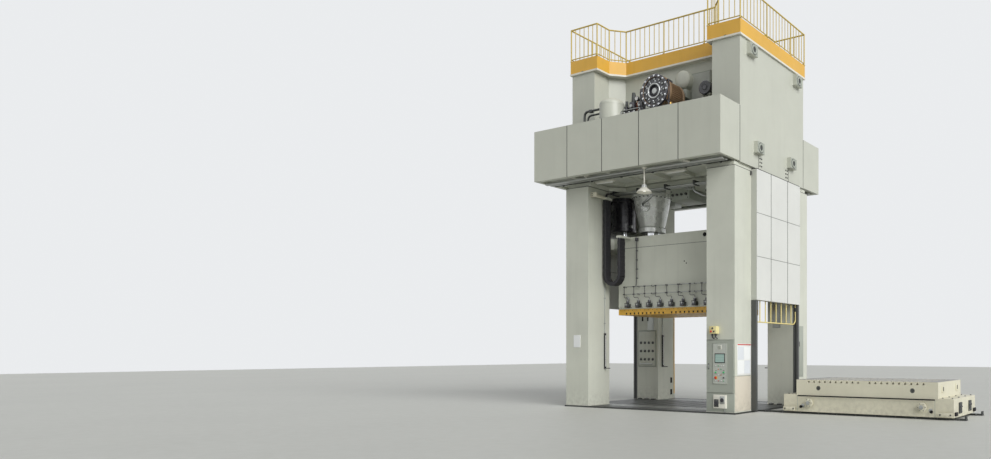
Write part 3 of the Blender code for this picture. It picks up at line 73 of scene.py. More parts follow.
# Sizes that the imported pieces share
COVER_ABOVE_GUARD = 0.59
COVER_PANEL_WIDTH = 0.96
CROWN_WAIST_HALF = 0.85
FASCIA_PANELS = 5
CROWN_CHAMFER = 0.35
TOWER_X = 2.4715
LUG_DEPTH = 0.13
LUG_CENTRES = ((-1.31, 9.512), (1.31, 9.512), (-0.95, 7.02), (0.95, 7.02))
LUG_HALF_WIDTH = 0.185
LUG_HALF_HEIGHT = 0.15
SLOT_PITCH = 0.15
CLAMP_COUNT = 8
CLAMP_PITCH = 0.40

UP, DOWN, FRONT, BACK = (0, 0, 1), (0, 0, -1), (0, -1, 0), (0, 1, 0)
SIDES = (-1, 1)
NAMED_SIDES = (("left", -1), ("right", 1))

Point = Sequence[float]
Profile = Sequence[tuple[float, float]]
Socket = bpy.types.NodeSocket


class Body(str, Enum):
    """The moving bodies of the press."""

    FRAME = "frame"
    SLIDE = "slide"
    GUARD_LEFT = "guard_left"
    GUARD_RIGHT = "guard_right"
    BOLSTER = "bolster"
    WHEELS_LEFT = "wheels_left"
    WHEELS_RIGHT = "wheels_right"
    DOOR = "door"
    START_LEFT = "start_button_left"
    START_RIGHT = "start_button_right"
    STOP = "stop_button"
    SELECTOR = "selector"


@dataclass(frozen=True)
class Finish:
    """How one painted, ground or moulded surface looks."""

    colour: str
    roughness: float
    metallic: float = 0.0
    coat: float = 0.0
    drift: float = 0.05
    drift_size: float = 0.9
    streaks: float = 0.0
    grain_size: float = 0.004
    grain_height: float = 0.00015
    wear: float = 0.0
    worn: str = "#8B8B84"
    rounding: float = 0.004
    dust: float = 0.0
    glow: float = 0.0


FINISHES: dict[str, Finish] = {
    "machine_enamel": Finish("#CDCFC2", 0.42, coat=0.15, streaks=0.10, wear=0.25, dust=0.10),
    "fascia_enamel": Finish("#C3C5B8", 0.38, coat=0.2, streaks=0.07, drift=0.03, wear=0.15, dust=0.10),
    "bolster_enamel": Finish("#DAD6C0", 0.42, coat=0.15, streaks=0.10, wear=0.25, dust=0.10),
    "cylinder_enamel": Finish("#ECEEEA", 0.26, metallic=0.3, streaks=0.15, wear=0.2),
    "cream_enamel": Finish("#E2E0D4", 0.42, coat=0.1, streaks=0.05, wear=0.2),
    "cover_enamel": Finish("#D9DAD5", 0.36, coat=0.2, streaks=0.06, drift=0.03, wear=0.15),
    "beige_enamel": Finish("#D3CBBB", 0.45, drift=0.03, wear=0.2, dust=0.1),
    "cabinet_enamel": Finish("#A3A89D", 0.45, drift=0.03, wear=0.2, rounding=0.003),
    "yellow_enamel": Finish("#E2B043", 0.40, coat=0.15, streaks=0.10, wear=0.4, worn="#B08A4A"),
    "rail_enamel": Finish("#CDB45C", 0.45, wear=0.5, worn="#8F8558"),
    "guard_enamel": Finish("#EAD990", 0.40, coat=0.1, wear=0.4, worn="#B5A876"),
    "box_enamel": Finish("#DDD29A", 0.42, wear=0.3, worn="#A59C6E"),
    "panel_enamel": Finish("#BCC0B7", 0.42, drift=0.03, wear=0.1, rounding=0.003),
    "black_enamel": Finish("#2B2A31", 0.24, coat=0.7, drift=0.1, wear=0.15, worn="#4A4A4C"),
    "silver_enamel": Finish("#B4B6B2", 0.34, metallic=0.55, drift=0.08, streaks=0.15, wear=0.2),
    "brown_enamel": Finish("#8A7156", 0.5, drift=0.15, streaks=0.2, wear=0.3),
    "ground_steel": Finish("#C9CBC9", 0.20, metallic=1.0, drift=0.06, grain_height=0.00003),
    "machined_steel": Finish("#A9ABA8", 0.34, metallic=1.0, drift=0.10, grain_height=0.00008),
    "dark_steel": Finish("#4E504E", 0.48, metallic=0.7, drift=0.18, streaks=0.1, grain_height=0.0003),
    "chrome": Finish("#D8DADC", 0.08, metallic=1.0, drift=0.02, grain_height=0.0, rounding=0.002),
    "moulded_nylon": Finish("#26252A", 0.55, drift=0.04, grain_height=0.0, rounding=0.003),
    "rubber": Finish("#18181A", 0.7, drift=0.1, grain_height=0.0001, rounding=0.002),
    "white_plastic": Finish("#E9EAE6", 0.35, drift=0.02, rounding=0.002),
    "red_plastic": Finish("#C9261F", 0.30, drift=0.03, coat=0.3, rounding=0.002),
    "green_plastic": Finish("#2DA35B", 0.30, drift=0.03, coat=0.3, rounding=0.002, glow=0.25),
    "orange_plastic": Finish("#E2762B", 0.30, drift=0.03, coat=0.3, rounding=0.002),
    "brass": Finish("#B8985A", 0.30, metallic=1.0, drift=0.08, rounding=0.002),
    "copper": Finish("#A86B4A", 0.34, metallic=1.0, drift=0.1, rounding=0.002),
    "paper": Finish("#EEF0EF", 0.75, drift=0.02, grain_height=0.00005, rounding=0.0),
    "blue_paper": Finish("#DDE1E5", 0.75, drift=0.02, grain_height=0.00005, rounding=0.0),
    "lamp_glass": Finish("#FFFBEF", 0.15, drift=0.0, grain_height=0.0, rounding=0.0, glow=1.6),
    # Painted shade: flat near-black put where holes, slots, vents, grooves and gaps would be dark.
    "hole_black": Finish("#0B0B0C", 0.9, drift=0.0, grain_height=0.0, rounding=0.0),
    "floor_paint": Finish("#C9CAC4", 0.55, drift=0.02, drift_size=4.0, grain_height=0.0, rounding=0.0),
}


def linear(hex_colour: str) -> tuple[float, float, float, float]:
    """Turns an sRGB hex colour into linear light with an alpha of 1.

    Args:
        hex_colour: The colour, such as "#A8AC9D".

    Returns:
        Its red, green, blue and alpha.
    """
    values = [int(hex_colour[start : start + 2], 16) / 255 for start in (1, 3, 5)]
    red, green, blue = (v / 12.92 if v <= 0.04045 else ((v + 0.055) / 1.055) ** 2.4 for v in values)
    return (red, green, blue, 1.0)


def scaled(colour: Sequence[float], share: float) -> tuple[float, ...]:
    """Multiplies a linear colour by a share, up to 1, and keeps its alpha."""
    return tuple(min(c * share, 1.0) for c in colour[:3]) + (1.0,)


class Surface:
    """A material with tone drift, streaks, worn edges, dust and grain, to which more can be added."""

    def __init__(self, name: str, finish: Finish) -> None:
        """Builds the material.

        Args:
            name: The material's name.
            finish: How the surface looks.
        """
        self.material = bpy.data.materials.new(name)
        self.material.use_nodes = True
        self.tree = self.material.node_tree
        self.inputs = self.tree.nodes["Principled BSDF"].inputs
        self.finish = finish
        self.place = self.add("TexCoord").outputs["Object"]
        rounded = None
        if finish.rounding:
            rounded = self.add("Bevel", {"Radius": finish.rounding}, samples=4).outputs[0]
        self.colour = self.drifting_colour()
        if finish.wear:
            self.wear_edges(rounded)
        if finish.dust:
            self.settle_dust()
        self.put(self.inputs["Base Color"], self.colour)
        low, high = max(finish.roughness - 0.06, 0.03), min(finish.roughness + 0.08, 1.0)
        values = {
            "Roughness": self.remap(self.noise(self.place, 0.25), 0.3, 0.7, low, high),
            "Metallic": finish.metallic,
            "Coat Weight": finish.coat,
            "Coat Roughness": 0.25,
        }
        if finish.grain_height:
            grain = self.noise(self.place, finish.grain_size, 2.0)
            inputs = {"Strength": 0.5, "Distance": finish.grain_height, "Height": grain}
            rounded = self.add("Bump", inputs | ({"Normal": rounded} if rounded else {})).outputs[0]
        if rounded:
            values["Normal"] = rounded
        if finish.glow:
            values |= {"Emission Color": linear(finish.colour), "Emission Strength": finish.glow}
        for key, value in values.items():
            self.put(self.inputs[key], value)

    def add(self, kind: str, inputs: dict[Any, Any] | None = None, **settings: Any) -> bpy.types.Node:
        """Adds a node.

        Args:
            kind: The node type's name after "ShaderNode".
            inputs: A value or an output socket for each input, by name or index.
            settings: The node's own properties.

        Returns:
            The new node.
        """
        made = self.tree.nodes.new("ShaderNode" + kind)
        for name, value in settings.items():
            setattr(made, name, value)
        for key, value in (inputs or {}).items():
            self.put(made.inputs[key], value)
        return made

    def put(self, socket: Socket, value: Any) -> None:
        """Sets a socket to a value, or links an output to it.

        Args:
            socket: The input socket.
            value: A plain value or an output socket.
        """
        if isinstance(value, bpy.types.NodeSocket):
            self.tree.links.new(value, socket)
        else:
            socket.default_value = value

    def mix(self, factor: Any, first: Any, second: Any) -> Socket:
        """Mixes two colours by the share of the second."""
        inputs = {0: factor, 6: first, 7: second}
        return self.add("Mix", inputs, data_type="RGBA", blend_type="MIX", clamp_factor=True).outputs[2]

    def remap(self, value: Any, low: float, high: float, to_low: float, to_high: float) -> Socket:
        """Moves a value from low..high to to_low..to_high, clamped to the second."""
        return self.add("MapRange", {0: value, 1: low, 2: high, 3: to_low, 4: to_high}, clamp=True).outputs[0]

    def math(self, operation: str, first: Any, second: Any = 0.5) -> Socket:
        """Works out a sum, a product or the like, by Blender's name for it."""
        return self.add("Math", {0: first, 1: second}, operation=operation).outputs[0]

    def noise(self, place: Any, size: float, detail: float = 3.0) -> Socket:
        """Adds a noise with patches of a size in metres and a number of finer layers."""
        inputs = {"Vector": place, "Scale": 1.0 / size, "Detail": detail, "Roughness": 0.55}
        return self.add("TexNoise", inputs).outputs[0]

    def stretched(self, scale: Point, turn: Point = (0.0, 0.0, 0.0)) -> Socket:
        """Gives the coordinates scaled and turned."""
        return self.add("Mapping", {"Vector": self.place, "Scale": scale, "Rotation": turn}).outputs[0]

    def part(self, source: Socket, axis: int) -> Socket:
        """Takes one axis of a vector."""
        return self.add("SeparateXYZ", {0: source}).outputs[axis]

    def facing(self, axis: int, kind: str = "True Normal") -> Socket:
        """Gives how far the surface faces along an axis."""
        return self.part(self.add("NewGeometry").outputs[kind], axis)

    def drifting_colour(self) -> Any:
        """Gives a colour that drifts in tone and has faint upright streaks.

        Returns:
            The socket of the colour, or a plain colour where nothing drifts.
        """
        base, finish = linear(self.finish.colour), self.finish
        if not finish.drift:
            return base
        tone = self.remap(self.noise(self.place, finish.drift_size, 4.0), 0.3, 0.7, 0.0, 1.0)
        colour = self.mix(tone, scaled(base, 1 - finish.drift), scaled(base, 1 + finish.drift))
        if finish.streaks:
            streak = self.noise(self.stretched((7.0, 7.0, 0.35)), 1.0, 5.0)
            colour = self.mix(self.remap(streak, 0.52, 0.75, 0.0, finish.streaks), colour, scaled(base, 0.45))
        return colour

    def wear_edges(self, rounded: Any) -> None:
        """Rubs the paint off unevenly where the rounded normal leaves the flat one.

        Args:
            rounded: The socket of the rounded normal.
        """
        inputs = {0: rounded, 1: self.add("NewGeometry").outputs["True Normal"]}
        match = self.add("VectorMath", inputs, operation="DOT_PRODUCT").outputs["Value"]
        patchy = self.remap(self.noise(self.place, 0.12, 4.0), 0.42, 0.62, 0.0, self.finish.wear)
        worn = self.math("MULTIPLY", self.remap(match, 0.90, 0.999, 1.0, 0.0), patchy)
        self.colour = self.mix(worn, self.colour, linear(self.finish.worn))

    def settle_dust(self) -> None:
        """Lays dust on what faces up, and scuffs on the lowest half metre."""
        up = self.remap(self.facing(2, "Normal"), 0.6, 0.95, 0.0, self.finish.dust * 3)
        low = self.remap(self.part(self.place, 2), 0.0, 0.6, 0.35, 0.0)
        scuffs = self.remap(self.noise(self.place, 0.10, 5.0), 0.40, 0.70, 0.0, 1.0)
        dusty = self.mix(up, self.colour, linear("#B9B4A4"))
        self.colour = self.mix(self.math("MULTIPLY", low, scuffs), dusty, linear("#7F7C70"))

    def joints(self, joints: Iterable[tuple[int, float, float]], colour: str) -> None:
        """Paints dark lines along the joints of a panelled surface, as painted shade in their grooves.

        Args:
            joints: Each joint's axis, its place on that axis and half its width.
            colour: The colour of the painted shade.
        """
        # Painted shade: each joint line is darkened as the shade in its groove.
        joint_shade: Any = 0.0
        for axis, middle, half in joints:
            gap = self.math("ABSOLUTE", self.math("SUBTRACT", self.part(self.place, axis), middle))
            joint_shade = self.math("MAXIMUM", joint_shade, self.remap(gap, half, half + 0.001, 1.0, 0.0))
        self.colour = self.mix(joint_shade, self.colour, linear(colour))

    def finished(self, **values: Any) -> bpy.types.Material:
        """Links the colour so far and any further inputs, and gives the material.

        Args:
            values: Further inputs of the shader by name.

        Returns:
            The material.
        """
        for key, value in {"Base Color": self.colour, **values}.items():
            self.put(self.inputs[key], value)
        return self.material


class Paintbox:
    """Makes each material once and hands it out by name."""

    def __init__(self) -> None:
        """Starts with no material made."""
        self.made: dict[str, bpy.types.Material] = {}
        self.special: dict[str, Callable[[], bpy.types.Material]] = {
            "tread_plate": self.tread_plate,
            "cover_and_guides": self.cover_and_guides,
            "screen": self.screen,
            "slotted_top": self.slotted_top,
            "front_fascia": lambda: self.fascia("front_fascia", 0),
            "side_fascia": lambda: self.fascia("side_fascia", 1),
        }

    def get(self, name: str) -> bpy.types.Material:
        """Finds or makes the material of a finish, or a special one.

        Args:
            name: The name of the finish or of the special material.

        Returns:
            The material, the same one each time.
        """
        if name not in self.made:
            maker = self.special.get(name)
            self.made[name] = maker() if maker else Surface(name, FINISHES[name]).material
        return self.made[name]

    @staticmethod
    def tread_plate() -> bpy.types.Material:
        """Makes dark tread plate with crossed raised bars about 30 mm apart, painted underneath.

        Returns:
            The material.
        """
        made = Surface("tread_plate", FINISHES["dark_steel"])
        heights = []
        for angle in (45.0, -45.0):
            cells = made.stretched((1 / 0.06, 1 / 0.03, 1), (0.0, 0.0, math.radians(angle)))
            inputs = {"Vector": cells, "Scale": 0.5, "Distortion": 0.0}
            along_x, along_y = (made.add("TexWave", inputs, bands_direction=axis).outputs[1] for axis in "XY")
            heights.append(made.remap(made.math("MULTIPLY", along_x, along_y), 0.5, 0.7, 0.0, 1.0))
        top = made.remap(made.facing(2), 0.8, 0.9, 0.0, 1.0)
        strength = made.math("MULTIPLY", top, 0.8)
        inputs = {"Strength": strength, "Distance": 0.002, "Height": made.math("MAXIMUM", *heights)}
        made.colour = made.mix(top, linear("#D3D5CB"), made.colour)
        return made.finished(
            Normal=made.add("Bump", inputs).outputs[0], Metallic=made.math("MULTIPLY", top, 0.7),
        )

    @staticmethod
    def fascia(name: str, axis: int) -> bpy.types.Material:
        """Makes the fascia's enamel, with painted shade drawn along the joints between its panels.

        Args:
            name: The material's name.
            axis: The axis along which the panels stand, 0 for x or 1 for y.

        Returns:
            The material.
        """
        made = Surface(name, FINISHES["fascia_enamel"])
        low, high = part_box("fascia_front")[0][axis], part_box("fascia_back")[1][axis]
        # Painted shade along the joints between the fascia's panels.
        made.joints([(axis, place, 0.011) for place in along(low, high, FASCIA_PANELS + 1)[1:-1]], "#454743")
        return made.finished()

    @staticmethod
    def cover_and_guides() -> bpy.types.Material:
        """Makes the side covers' enamel, with painted shade along its joints and on its front and back
        returns, and dark steel below for the guard's guides.

        Returns:
            The material.
        """
        made = Surface("cover_and_guides", FINISHES["cover_enamel"])
        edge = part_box("side_guard_right")[0][2] + COVER_ABOVE_GUARD
        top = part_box("side_cover_right")[1][2]
        # Painted shade along the cover's joints.
        made.joints([(2, place, 0.007) for place in along(edge, top, 4)[1:-1]], "#7E807B")
        made.joints([(1, side * COVER_PANEL_WIDTH / 2, 0.014) for side in SIDES], "#3E403E")
        # Painted shade: faces turned to the front or the back are darkened as if in shade.
        return_shade = made.remap(made.math("ABSOLUTE", made.facing(1), 0.0), 0.8, 0.9, 0.0, 1.0)
        made.colour = made.mix(return_shade, made.colour, linear("#BDBFB6"))
        below = made.remap(made.part(made.place, 2), edge - 0.002, edge + 0.002, 1.0, 0.0)
        made.colour = made.mix(below, made.colour, linear("#4B4D4C"))
        return made.finished()

    @staticmethod
    def screen() -> bpy.types.Material:
        """Makes the operator screen: a softly lit display with plain fields.

        Returns:
            The material.
        """
        made = Surface("screen", Finish("#8FA8A0", 0.12, drift=0.0, grain_height=0.0, rounding=0.0))
        band = made.math("FRACT", made.math("MULTIPLY", made.part(made.place, 2), 24.0))
        made.colour = made.mix(made.remap(band, 0.62, 0.66, 0.0, 0.35), linear("#94ADA4"), linear("#64837C"))
        made.put(made.inputs["Emission Strength"], 0.2)
        return made.finished(**{"Emission Color": made.colour})

    @staticmethod
    def slotted_top() -> bpy.types.Material:
        """Makes the bolster: painted sides below a machined steel top.

        Returns:
            The material.
        """
        made = Surface("slotted_top", FINISHES["bolster_enamel"])
        top = made.remap(made.facing(2), 0.8, 0.9, 0.0, 1.0)
        cuts = made.remap(made.noise(made.stretched((1.5, 200.0, 1.0)), 1.0, 3.0), 0.3, 0.7, 0.0, 1.0)
        made.colour = made.mix(top, made.colour, made.mix(cuts, linear("#73706A"), linear("#7B7872")))
        return made.finished(Metallic=made.remap(top, 0.0, 1.0, 0.0, 0.6))


class Span:
    """The box that a CAD node fills at rest."""

    def __init__(self, node: str) -> None:
        """Measures a node.

        Args:
            node: The node's name.
        """
        self.low, self.high = (Vector(corner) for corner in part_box(node))
        self.mid = (self.low + self.high) / 2
        self.size = self.high - self.low


def along(start: float, end: float, count: int) -> list[float]:
    """Gives evenly spaced values from start to end, both included."""
    return [start + (end - start) * k / (count - 1) for k in range(count)]


def facing(direction: Point) -> Matrix:
    """Turns +Z towards a direction."""
    return Vector(direction).to_track_quat("Z", "Y").to_matrix().to_4x4()


def spokes(centre: Point, axis: str, count: int) -> list[Matrix]:
    """Gives the turns that repeat a shape round an axis, "X", "Y" or "Z", through a centre."""
    return [Matrix.Translation(centre) @ Matrix.Rotation(math.tau * k / count, 4, axis) for k in range(count)]


def ring(centre: Point, axis: Point, radius: float, count: int, start: float = 0.0) -> list[Vector]:
    """Places points round a circle.

    Args:
        centre: The circle's centre.
        axis: The direction it faces.
        radius: Its radius.
        count: The number of points.
        start: The first point's angle.

    Returns:
        The points.
    """
    turn = facing(axis)
    angles = [start + math.tau * k / count for k in range(count)]
    return [Vector(centre) + turn @ Vector((radius * math.cos(a), radius * math.sin(a), 0)) for a in angles]


def rounded_path(points: Sequence[Point], bend: float, steps: int = 5) -> list[Vector]:
    """Rounds the corners of a path.

    Args:
        points: The path's corners.
        bend: How far before and after a corner its curve starts and ends.
        steps: The number of straight pieces in each curve.

    Returns:
        The points of the rounded path.
    """
    corners = [Vector(point) for point in points]
    path = [corners[0]]
    for before, corner, after in zip(corners, corners[1:], corners[2:]):
        reach = min(bend, (before - corner).length * 0.49, (after - corner).length * 0.49)
        start, end = (corner + (other - corner).normalized() * reach for other in (before, after))
        for t in along(0, 1, steps + 1):
            path.append(start * (1 - t) ** 2 + corner * 2 * t * (1 - t) + end * t**2)
    path.append(corners[-1])
    return path


class Piece:
    """One new piece of the press: shapes joined in one mesh, each in its own finish."""

    def __init__(self, paints: Paintbox, name: str, body: Body, finish: str) -> None:
        """Starts an empty piece.

        Args:
            paints: Where its materials come from.
            name: The piece's name.
            body: The body it rides on.
            finish: The finish of shapes that name no other.
        """
        self.paints, self.name, self.body = paints, name, body
        self.finishes = [finish]
        self.mesh = bmesh.new()

    def take(self, shape: bmesh.types.BMesh, finish: str = "", turn: Matrix | None = None) -> None:
        """Joins a shape to the piece and frees it.

        Args:
            shape: The shape's own bmesh.
            finish: Its finish, or the piece's first.
            turn: A matrix that moves it into place.
        """
        name = finish or self.finishes[0]
        if name not in self.finishes:
            self.finishes.append(name)
        if turn:
            bmesh.ops.transform(shape, matrix=turn, verts=shape.verts)
        bmesh.ops.recalc_face_normals(shape, faces=shape.faces)
        for face in shape.faces:
            face.material_index = self.finishes.index(name)
            face.smooth = True
        carrier = bpy.data.meshes.new("shape")
        shape.to_mesh(carrier)
        shape.free()
        self.mesh.from_mesh(carrier)
        bpy.data.meshes.remove(carrier)

    @staticmethod
    def bevel(shape: bmesh.types.BMesh, edges: Sequence[Any], offset: float, segments: int = 2) -> None:
        """Rounds edges of a shape by an offset."""
        settings = {"affect": "EDGES", "segments": segments, "profile": 0.5, "material": -1}
        bmesh.ops.bevel(shape, geom=edges, offset=offset, **settings)

    def box(
        self,
        low: Point,
        high: Point,
        finish: str = "",
        bevel: float = 0.004,
        turn: Matrix | None = None,
        segments: int = 2,
    ) -> None:
        """Adds a block with rounded edges.

        Args:
            low: One corner.
            high: The opposite corner. The two can be given in either order on each axis.
            finish: Its finish.
            bevel: The rounding of its edges.
            turn: A matrix applied after the block is in place.
            segments: The number of faces across each rounded edge.
        """
        shape = bmesh.new()
        bmesh.ops.create_cube(shape, size=1.0)
        size = [abs(b - a) for a, b in zip(low, high)]
        bmesh.ops.scale(shape, vec=size, verts=shape.verts)
        bmesh.ops.translate(shape, vec=(Vector(low) + Vector(high)) / 2, verts=shape.verts)
        rounding = min(bevel, min(size) * 0.45)
        if rounding > 0:
            self.bevel(shape, shape.edges[:], rounding, segments)
        self.take(shape, finish, turn)

    def block(self, centre: Point, half: Point, finish: str = "", bevel: float = 0.004) -> None:
        """Adds a block round a centre, with half its size along each axis."""
        middle, reach = Vector(centre), Vector(half)
        self.box(middle - reach, middle + reach, finish, bevel)

    def rod(
        self,
        start: Point,
        end: Point,
        radius: float,
        finish: str = "",
        sides: int = 16,
        taper: float = 1.0,
        bevel: float = 0.0,
    ) -> None:
        """Adds a round rod, or a cone.

        Args:
            start: The centre of one end.
            end: The centre of the other end.
            radius: The radius at the start.
            finish: Its finish.
            sides: The number of faces round it.
            taper: The end's radius as a share of the start's.
            bevel: The rounding of its two rims.
        """
        direction = Vector(end) - Vector(start)
        radii = {"radius1": radius, "radius2": radius * taper}
        shape = bmesh.new()
        bmesh.ops.create_cone(shape, cap_ends=True, segments=sides, depth=direction.length, **radii)
        if bevel:
            rims = [edge for edge in shape.edges if abs(edge.verts[0].co.z - edge.verts[1].co.z) < 1e-6]
            self.bevel(shape, rims, bevel)
        bmesh.ops.translate(shape, vec=(0, 0, direction.length / 2), verts=shape.verts)
        self.take(shape, finish, Matrix.Translation(start) @ facing(direction))

    def post(self, foot: Point, axis: Point, length: float, radius: float, *look: Any) -> None:
        """Adds a rod from its foot, a direction and a length, with the rod's own look after them."""
        self.rod(foot, Vector(foot) + Vector(axis) * length, radius, *look)

    def lathe(self, base: Point, axis: Point, profile: Profile, finish: str = "", sides: int = 40) -> None:
        """Adds a turned shape.

        Args:
            base: The point of the axis where heights start.
            axis: The direction of the axis.
            profile: Its (radius, height) points. Ends off the axis are joined to it.
            finish: Its finish.
            sides: The number of faces round it.
        """
        points = list(profile)
        if points[0][0] > 0:
            points.insert(0, (0.0, points[0][1]))
        if points[-1][0] > 0:
            points.append((0.0, points[-1][1]))
        shape = bmesh.new()
        chain = [shape.verts.new((radius, 0, height)) for radius, height in points]
        links = [shape.edges.new(pair) for pair in zip(chain, chain[1:])]
        circle = {"cent": (0, 0, 0), "axis": UP, "angle": math.tau, "steps": sides, "use_merge": True}
        bmesh.ops.spin(shape, geom=chain + links, **circle)
        bmesh.ops.remove_doubles(shape, verts=shape.verts, dist=1e-5)
        self.take(shape, finish, Matrix.Translation(base) @ facing(axis))

    def pipe(
        self, points: Sequence[Point], radius: float, finish: str = "", bend: float = 0.06, sides: int = 2
    ) -> None:
        """Adds a round pipe with rounded bends and closed ends.

        Args:
            points: The corners of its route.
            radius: Its radius.
            finish: Its finish.
            bend: The reach of each bend.
            sides: The curve's bevel resolution.
        """
        path = rounded_path(points, bend)
        curve = bpy.data.curves.new("pipe", "CURVE")
        curve.dimensions = "3D"
        curve.bevel_depth, curve.bevel_resolution, curve.use_fill_caps = radius, sides, True
        spline = curve.splines.new("POLY")
        spline.points.add(len(path) - 1)
        for knot, place in zip(spline.points, path):
            knot.co = (*place, 1)
        holder = bpy.data.objects.new("pipe", curve)
        mesh = bpy.data.meshes.new_from_object(holder)
        shape = bmesh.new()
        shape.from_mesh(mesh)
        bmesh.ops.remove_doubles(shape, verts=shape.verts, dist=1e-5)
        bpy.data.objects.remove(holder)
        bpy.data.meshes.remove(mesh)
        bpy.data.curves.remove(curve)
        self.take(shape, finish)

    def ball(self, centre: Point, radius: float, finish: str = "", stretch: Point = (1, 1, 1)) -> None:
        """Adds a ball, or an egg.

        Args:
            centre: Its centre.
            radius: Its radius.
            finish: Its finish, if not the main one.
            stretch: How much it is stretched along each axis.
        """
        shape = bmesh.new()
        bmesh.ops.create_uvsphere(shape, u_segments=20, v_segments=12, radius=radius)
        bmesh.ops.scale(shape, vec=stretch, verts=shape.verts)
        bmesh.ops.translate(shape, vec=centre, verts=shape.verts)
        self.take(shape, finish)

    def bolts(
        self,
        places: Iterable[Point],
        direction: Point,
        radius: float = 0.018,
        finish: str = "dark_steel",
        washer: bool = True,
    ) -> None:
        """Adds hexagon heads on washers.

        Args:
            places: Where each stands on its surface.
            direction: The way the heads point.
            radius: The heads' radius.
            finish: Their finish.
            washer: Whether a washer lies under each head.
        """
        out = Vector(direction).normalized()
        for place in places:
            head = seat = Vector(place)
            if washer:
                head = seat + out * radius * 0.22
                self.rod(seat - out * radius * 0.2, head, radius * 1.45, finish, 14)
            self.rod(head - out * radius * 0.05, head + out * radius * 0.85, radius, finish, 6, 0.97)

    def screws(self, places: Iterable[Point], direction: Point, radius: float = 0.009) -> None:
        """Adds low round screw heads on a surface.

        Args:
            places: Where they sit.
            direction: Where they point.
            radius: A head's radius.
        """
        out = Vector(direction).normalized()
        for seat in map(Vector, places):
            self.rod(seat - out * 0.002, seat + out * radius * 0.45, radius, "machined_steel", 10, 0.7)

    def done(self, replaced: Sequence[str] = (), slot: str = "", rides: bool = True) -> bpy.types.Object:
        """Finishes the piece: makes its object, dresses it and sets it on its body.

        Args:
            replaced: The CAD nodes that it stands for.
            slot: Not used.
            rides: Whether it rides on its body.

        Returns:
            The piece's object.
        """
        data = bpy.data.meshes.new(self.name)
        self.mesh.to_mesh(data)
        self.mesh.free()
        for name in self.finishes:
            data.materials.append(self.paints.get(name))
        data.set_sharp_from_angle(angle=math.radians(34))
        made = bpy.data.objects.new(self.name, data)
        bpy.context.scene.collection.objects.link(made)
        if rides:
            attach(made, self.body.value)
        if replaced:
            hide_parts(*replaced)
        LOG.info("%s: %d faces on %s", self.name, len(data.polygons), self.body.value)
        return made


@dataclass
class Studio:
    """The floor, the lights and the camera."""

    paints: Paintbox
    floor_reach: float = 60.0
    key_strength: float = 2.75
    fill_strength: float = 0.26

    def build(self) -> None:
        """Sets up the camera, the lights, the world and the floor."""
        self.camera()
        self.lights()
        self.world()
        shape = bmesh.new()
        bmesh.ops.create_grid(shape, x_segments=1, y_segments=1, size=self.floor_reach)
        mesh = bpy.data.meshes.new("floor")
        shape.to_mesh(mesh)
        shape.free()
        mesh.materials.append(self.paints.get("floor_paint"))
        floor = bpy.data.objects.new("floor", mesh)
        bpy.context.scene.collection.objects.link(floor)

    @staticmethod
    def camera() -> None:
        """Stands the camera where the photograph was taken from."""
        data = bpy.data.cameras.new("camera")
        data.sensor_width = SENSOR_WIDTH
        data.lens = FOCAL_PIXELS / IMAGE_WIDTH * SENSOR_WIDTH
        data.shift_x = (IMAGE_WIDTH / 2 - HORIZON_POINT[0]) / IMAGE_WIDTH
        data.shift_y = (HORIZON_POINT[1] - IMAGE_HEIGHT / 2) / IMAGE_WIDTH
        data.clip_end = 300
        camera = bpy.data.objects.new("camera", data)
        camera.location = CAMERA_PLACE
        camera.rotation_euler = (math.pi / 2, 0, CAMERA_YAW)
        bpy.context.scene.collection.objects.link(camera)
        bpy.context.scene.camera = camera

    def lights(self) -> None:
        """Hangs a broad soft light at the right and a faint one in front."""
        for name, aim, strength, spread in (
            ("key", (-0.83, 0.30, -0.48), self.key_strength, 45.0),
            ("front_fill", (0.15, 0.85, -0.50), self.key_strength * 0.06, 60.0),
        ):
            data = bpy.data.lights.new(name, "SUN")
            data.energy, data.angle = strength, math.radians(spread)
            light = bpy.data.objects.new(name, data)
            light.rotation_euler = (-Vector(aim)).to_track_quat("Z", "Y").to_euler()
            bpy.context.scene.collection.objects.link(light)

    def world(self) -> None:
        """Fills the rest from a world that is pale to the camera and in gloss, and dimmer as light."""
        world = bpy.data.worlds.new("world")
        bpy.context.scene.world = world
        world.use_nodes = True
        tree = world.node_tree
        seen, direct, level = (
            tree.nodes.new("ShaderNode" + kind) for kind in ("LightPath", "Math", "MapRange")
        )
        direct.operation = "MAXIMUM"
        level.inputs["To Min"].default_value = self.fill_strength
        level.inputs["To Max"].default_value = 0.93
        background = tree.nodes["Background"]
        background.inputs["Color"].default_value = linear("#F2F4F6")
        for output, socket in (
            (seen.outputs["Is Camera Ray"], direct.inputs[0]),
            (seen.outputs["Is Glossy Ray"], direct.inputs[1]),
            (direct.outputs[0], level.inputs["Value"]),
            (level.outputs[0], background.inputs["Strength"]),
        ):
            tree.links.new(output, socket)
        bpy.context.scene.view_settings.view_transform = "Standard"


class Fittings:
    """A group of fittings that are built with one paintbox."""

    def __init__(self, paints: Paintbox) -> None:
        """Takes the paintbox."""
        self.paints = paints

    def piece(self, name: str, finish: str, body: Body = Body.FRAME) -> Piece:
        """Starts a piece with a name and a main finish, on a body."""
        return Piece(self.paints, name, body, finish)


def at(place: Point, height: float) -> Vector:
    """Gives a point of a plan at a height."""
    return Vector((place[0], place[1], height))


def grid(first: Iterable[float], second: Iterable[float]) -> list[tuple[float, float]]:
    """Pairs each value of the first with each value of the second."""
    values = list(second)
    return [(a, b) for a in first for b in values]


def each(stem: str, ends: Sequence[str] = ("left", "right")) -> tuple[str, ...]:
    """Names the nodes of a stem, one for each end."""
    return tuple(f"{stem}_{end}" for end in ends)


